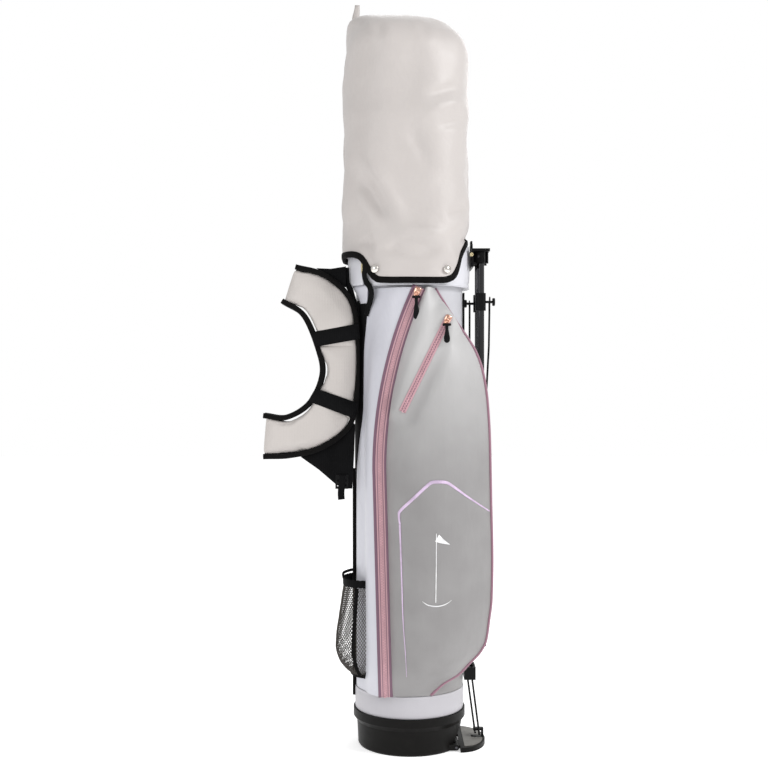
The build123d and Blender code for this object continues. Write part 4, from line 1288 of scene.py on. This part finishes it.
def make_ball_pocket():
    """Rounded bellows pocket with piping and its own zipper."""
    rows = []
    face = BALL_HIGH[1]
    for inset, y, radius in (
            (0.3, 62, 33), (0.0, 80, 33), (0.4, 98, 33), (0.6, face - 9, 32), (2.2, face - 4, 31),
            (6, face - 1.6, 29), (14, face - 0.8, 24), (26, face - 0.6, 16), (40, face - 0.7, 10),
            (52, face - 0.8, 6), (62, face - 0.8, 3)):
        row = []
        for x, y, z in ball_ring(inset, y, radius):
            wall = math.sqrt(max((BAG_R - 0.5) ** 2 - x * x, 0))
            sag = 1.1 * ripple(x, y, z * 0.6, 42, 9.4) * (1 if y > 70 else 0)
            near_zip = smooth((abs(x - BALL_ZIP[0][0] - 9) - 9) / 16)
            row.append((x, max(y + (sag - 0.9) * near_zip, wall), z))
        rows.append(row)
    add_piece("ball_pocket_skin", skin(rows), POCKET_CLOTH, replaces=["ball_pocket"])
    rim = ball_ring(0.6, face - 8, 32)
    cord = swept(rim + rim[:1], (0, 1, 0), oval(2.0, 2.0, 8), closed=True)
    add_piece("ball_pocket_piping", cord, PIPING)
    low, high = BALL_ZIP
    path = [((low[0] + high[0]) / 2, low[1], z) for z in np.linspace(low[2], high[2], 30)]
    make_zipper("ball", np.array(path), (0, 1, 0), 9, 0.6)
    make_slider("ball", np.array((0.0, 1.0, 0.0)), 38)


def make_handle():
    """Webbing handle with a thicker grip, and a sewn patch under each end."""
    low, high = box("lift_handle")
    width = high[0] - low[0]
    bend_y = mix(low[1], high[1], 0.62)
    arc = through([(0, low[1] - 0.6, low[2] + 2), (0, bend_y, low[2] + 26),
                   (0, high[1] - 2, (low[2] + high[2]) / 2),
                   (0, bend_y, high[2] - 26), (0, low[1] - 0.6, high[2] - 2)], 40)
    strap = swept(arc, (0, 1, 0), band_section(width, 3.2))
    grip = swept(arc[11:30], (0, 1, 0), oval(width * 0.42, 4.2, 14, power=3))
    add_piece("carry_handle", joined([strap, grip]), WEBBING, replaces=["lift_handle"])
    for index, z0 in enumerate((low[2] - 22, high[2] - 10)):
        patch = [[[(x, math.sqrt(BAG_R ** 2 - x * x) + lift, z) for x in np.linspace(-15, 15, 7)]
                  for z in np.linspace(z0, z0 + 32, 6)] for lift in (1.6, 0.1)]
        add_piece(f"handle_patch_{index}", thick_skin(patch), WEBBING)


make_ball_pocket()
make_handle()


# ---- printed trim on the pocket ---------------------------
def print_ribbon(name, points, widths, material, count=90):
    """A thin printed line lying on the pocket's face; widths are spread evenly along it."""
    line = through([(x, 0, z) for x, z in points], count)
    wide = np.interp(np.linspace(0, 1, count), np.linspace(0, 1, len(widths)), widths)
    grids = [], []
    for k in range(count):
        run = line[min(k + 1, count - 1)] - line[max(k - 1, 0)]
        side = unit(np.array((run[2], 0, -run[0])))
        a, b = line[k] - side * wide[k] / 2, line[k] + side * wide[k] / 2
        for grid, lift in zip(grids, (0.7, 0.2)):
            grid.append([on_face(mix(a[0], b[0], t), mix(a[2], b[2], t), lift) for t in (0, 0.5, 1)])
    add_piece(name, thick_skin(grids), material)


def make_prints():
    """A lilac arch, and a flag and its pole on a green."""
    print_ribbon("arch_print_right", [(133, 412), (96, 438), (66, 460), (56, 465), (46, 466)],
                 [2.0, 3.0, 4.4, 5.2, 5.4], LILAC)
    arch = [(46, 466), (34, 465), (24, 458), (2, 437), (-17, 418), (-19.5, 409), (-18.2, 396)]
    print_ribbon("arch_print_left", arch, [5.4, 5.4, 5.2, 5.0, 4.4, 3.8, 3.2], LILAC)
    leg = [(-18.2, 396), (-15.5, 320), (-12.8, 240), (-9, 185), (-6.7, 142)]
    print_ribbon("arch_print_leg", leg, [3.2, 2.4, 1.8, 1.2, 0.6], LILAC)
    print_ribbon("flag_pole_print", [(40, 270), (40.6, 320), (41, 382)], [1.4, 1.4, 1.2], WHITE_PRINT)
    print_ribbon("flag_print", [(42, 375), (52, 369), (63, 364)], [13, 7, 0.8], WHITE_PRINT)
    green = [(18, 272), (28, 266), (42, 264), (56, 267), (66, 273)]
    print_ribbon("green_print", green, [0.5, 1.8, 2.2, 1.6, 0.5], WHITE_PRINT)


make_prints()


# ---- CAD nodes shown as they are --------------------------
def finish_nodes():
    """Gives each CAD node that has no Blender piece its material."""
    looks = {
        "base_cup": BASE_PLASTIC, "foot_plate": BASE_PLASTIC, "floor_pad": RUBBER,
        "well_panels": LINING, "hinge_pins": DARK_STEEL, "plate_tread": TREAD}
    for node in ("top_divider", "back_stay", "leg_bracket", "rod_guide", "plate_clip", "ladder_buckle"):
        looks[node] = TRIM_PLASTIC
    for side in ("near", "far"):
        looks["leg_tube_" + side] = LEG_METAL
        looks["leg_fittings_" + side] = TRIM_PLASTIC
        looks["leg_foot_" + side] = RUBBER
        looks["push_rod_" + side] = ROD_BLACK
    for club, shaft, head in (("driver", GRAPHITE, HEAD_PAINT), ("hybrid", GRAPHITE, HEAD_PAINT),
                              ("iron_7", GRAPHITE, HEAD_STEEL), ("putter", HEAD_STEEL, HEAD_STEEL)):
        looks[club + "_grip"] = GRIP
        looks[club + "_shaft"] = shaft
        looks[club + "_head"] = head
    for node, material in looks.items():
        materials = frame["nodes"][node].data.materials
        materials.clear()
        materials.append(material)


def make_rivet():
    """Brass rivet over the near leg's hinge pin, on the bracket's front cheek."""
    pivot, axis = joint_frame("near_leg_swing")
    reach = (box("hinge_pins")[0][1] - pivot[1]) / axis[1]
    outline = [(-0.6, 3.3), (0.2, 3.5), (0.7, 3.0), (0.8, 2.2), (0.3, 1.5), (0.25, 0.05)]
    rivet = turned(pivot + axis * reach, axis * math.copysign(1, reach), outline)
    add_piece("bracket_rivet", rivet, BRASS)


finish_nodes()
make_rivet()

# ---- camera, light, floor ---------------------------------
AMBIENT = 0.62                   # of the white surroundings that the camera sees
HALF_FLOOR_M = 8
EYE_M = (-0.044, -2.05, 0.625)
AIM_M = (0, 0, 0.7)
LIGHTS = (                       # name, place in metres, size in metres, watts
    ("key", (2.3, -1.25, 2.2), 0.9, 44.0),
    ("fill", (-1.9, -2.3, 1.6), 1.4, 16.0),
    ("rim", (0.6, 2.2, 2.2), 1.4, 16.0))


def make_stage():
    """Pale floor, white surroundings and three soft lights."""
    floor = bpy.data.meshes.new("floor")
    corners = [(a * HALF_FLOOR_M, b * HALF_FLOOR_M, 0) for a, b in ((-1, -1), (1, -1), (1, 1), (-1, 1))]
    floor.from_pydata(corners, [], [(0, 1, 2, 3)])
    obj = bpy.data.objects.new("floor", floor)
    pale = Shader("pale_floor", 0.8, Emission_Strength=0.52, Emission_Color=(1, 1, 1, 1))
    pale.paint(pale.noise(400), linear((240, 240, 240)), linear((246, 246, 246)))
    floor.materials.append(pale.mat)
    bpy.context.collection.objects.link(obj)
    world = bpy.data.worlds.new("studio")
    bpy.context.scene.world = world
    world.use_nodes = True
    tree = world.node_tree
    tree.nodes["Background"].inputs["Color"].default_value = (1, 1, 1, 1)
    seen = tree.nodes.new("ShaderNodeLightPath").outputs["Is Camera Ray"]
    strength = tree.nodes.new("ShaderNodeMapRange")
    strength.inputs["To Min"].default_value = AMBIENT
    strength.inputs["To Max"].default_value = 1.0
    tree.links.new(seen, strength.inputs["Value"])
    tree.links.new(strength.outputs["Result"], tree.nodes["Background"].inputs["Strength"])
    for name, place, size, power in LIGHTS:
        light = bpy.data.lights.new(name, "AREA")
        light.size = size
        light.energy = power
        lamp = bpy.data.objects.new(name, light)
        lamp.location = place
        aim = Vector(AIM_M) - Vector(place)
        lamp.rotation_euler = aim.to_track_quat("-Z", "Y").to_euler()
        bpy.context.collection.objects.link(lamp)


def make_camera():
    """Level camera in front of the bag."""
    data = bpy.data.cameras.new("camera")
    data.lens = 54.9
    data.sensor_width = 36
    camera = bpy.data.objects.new("camera", data)
    camera.location = EYE_M
    camera.rotation_euler = (math.pi / 2, 0, 0)
    bpy.context.collection.objects.link(camera)
    bpy.context.scene.camera = camera
    bpy.context.scene.view_settings.view_transform = "Standard"


make_stage()
make_camera()
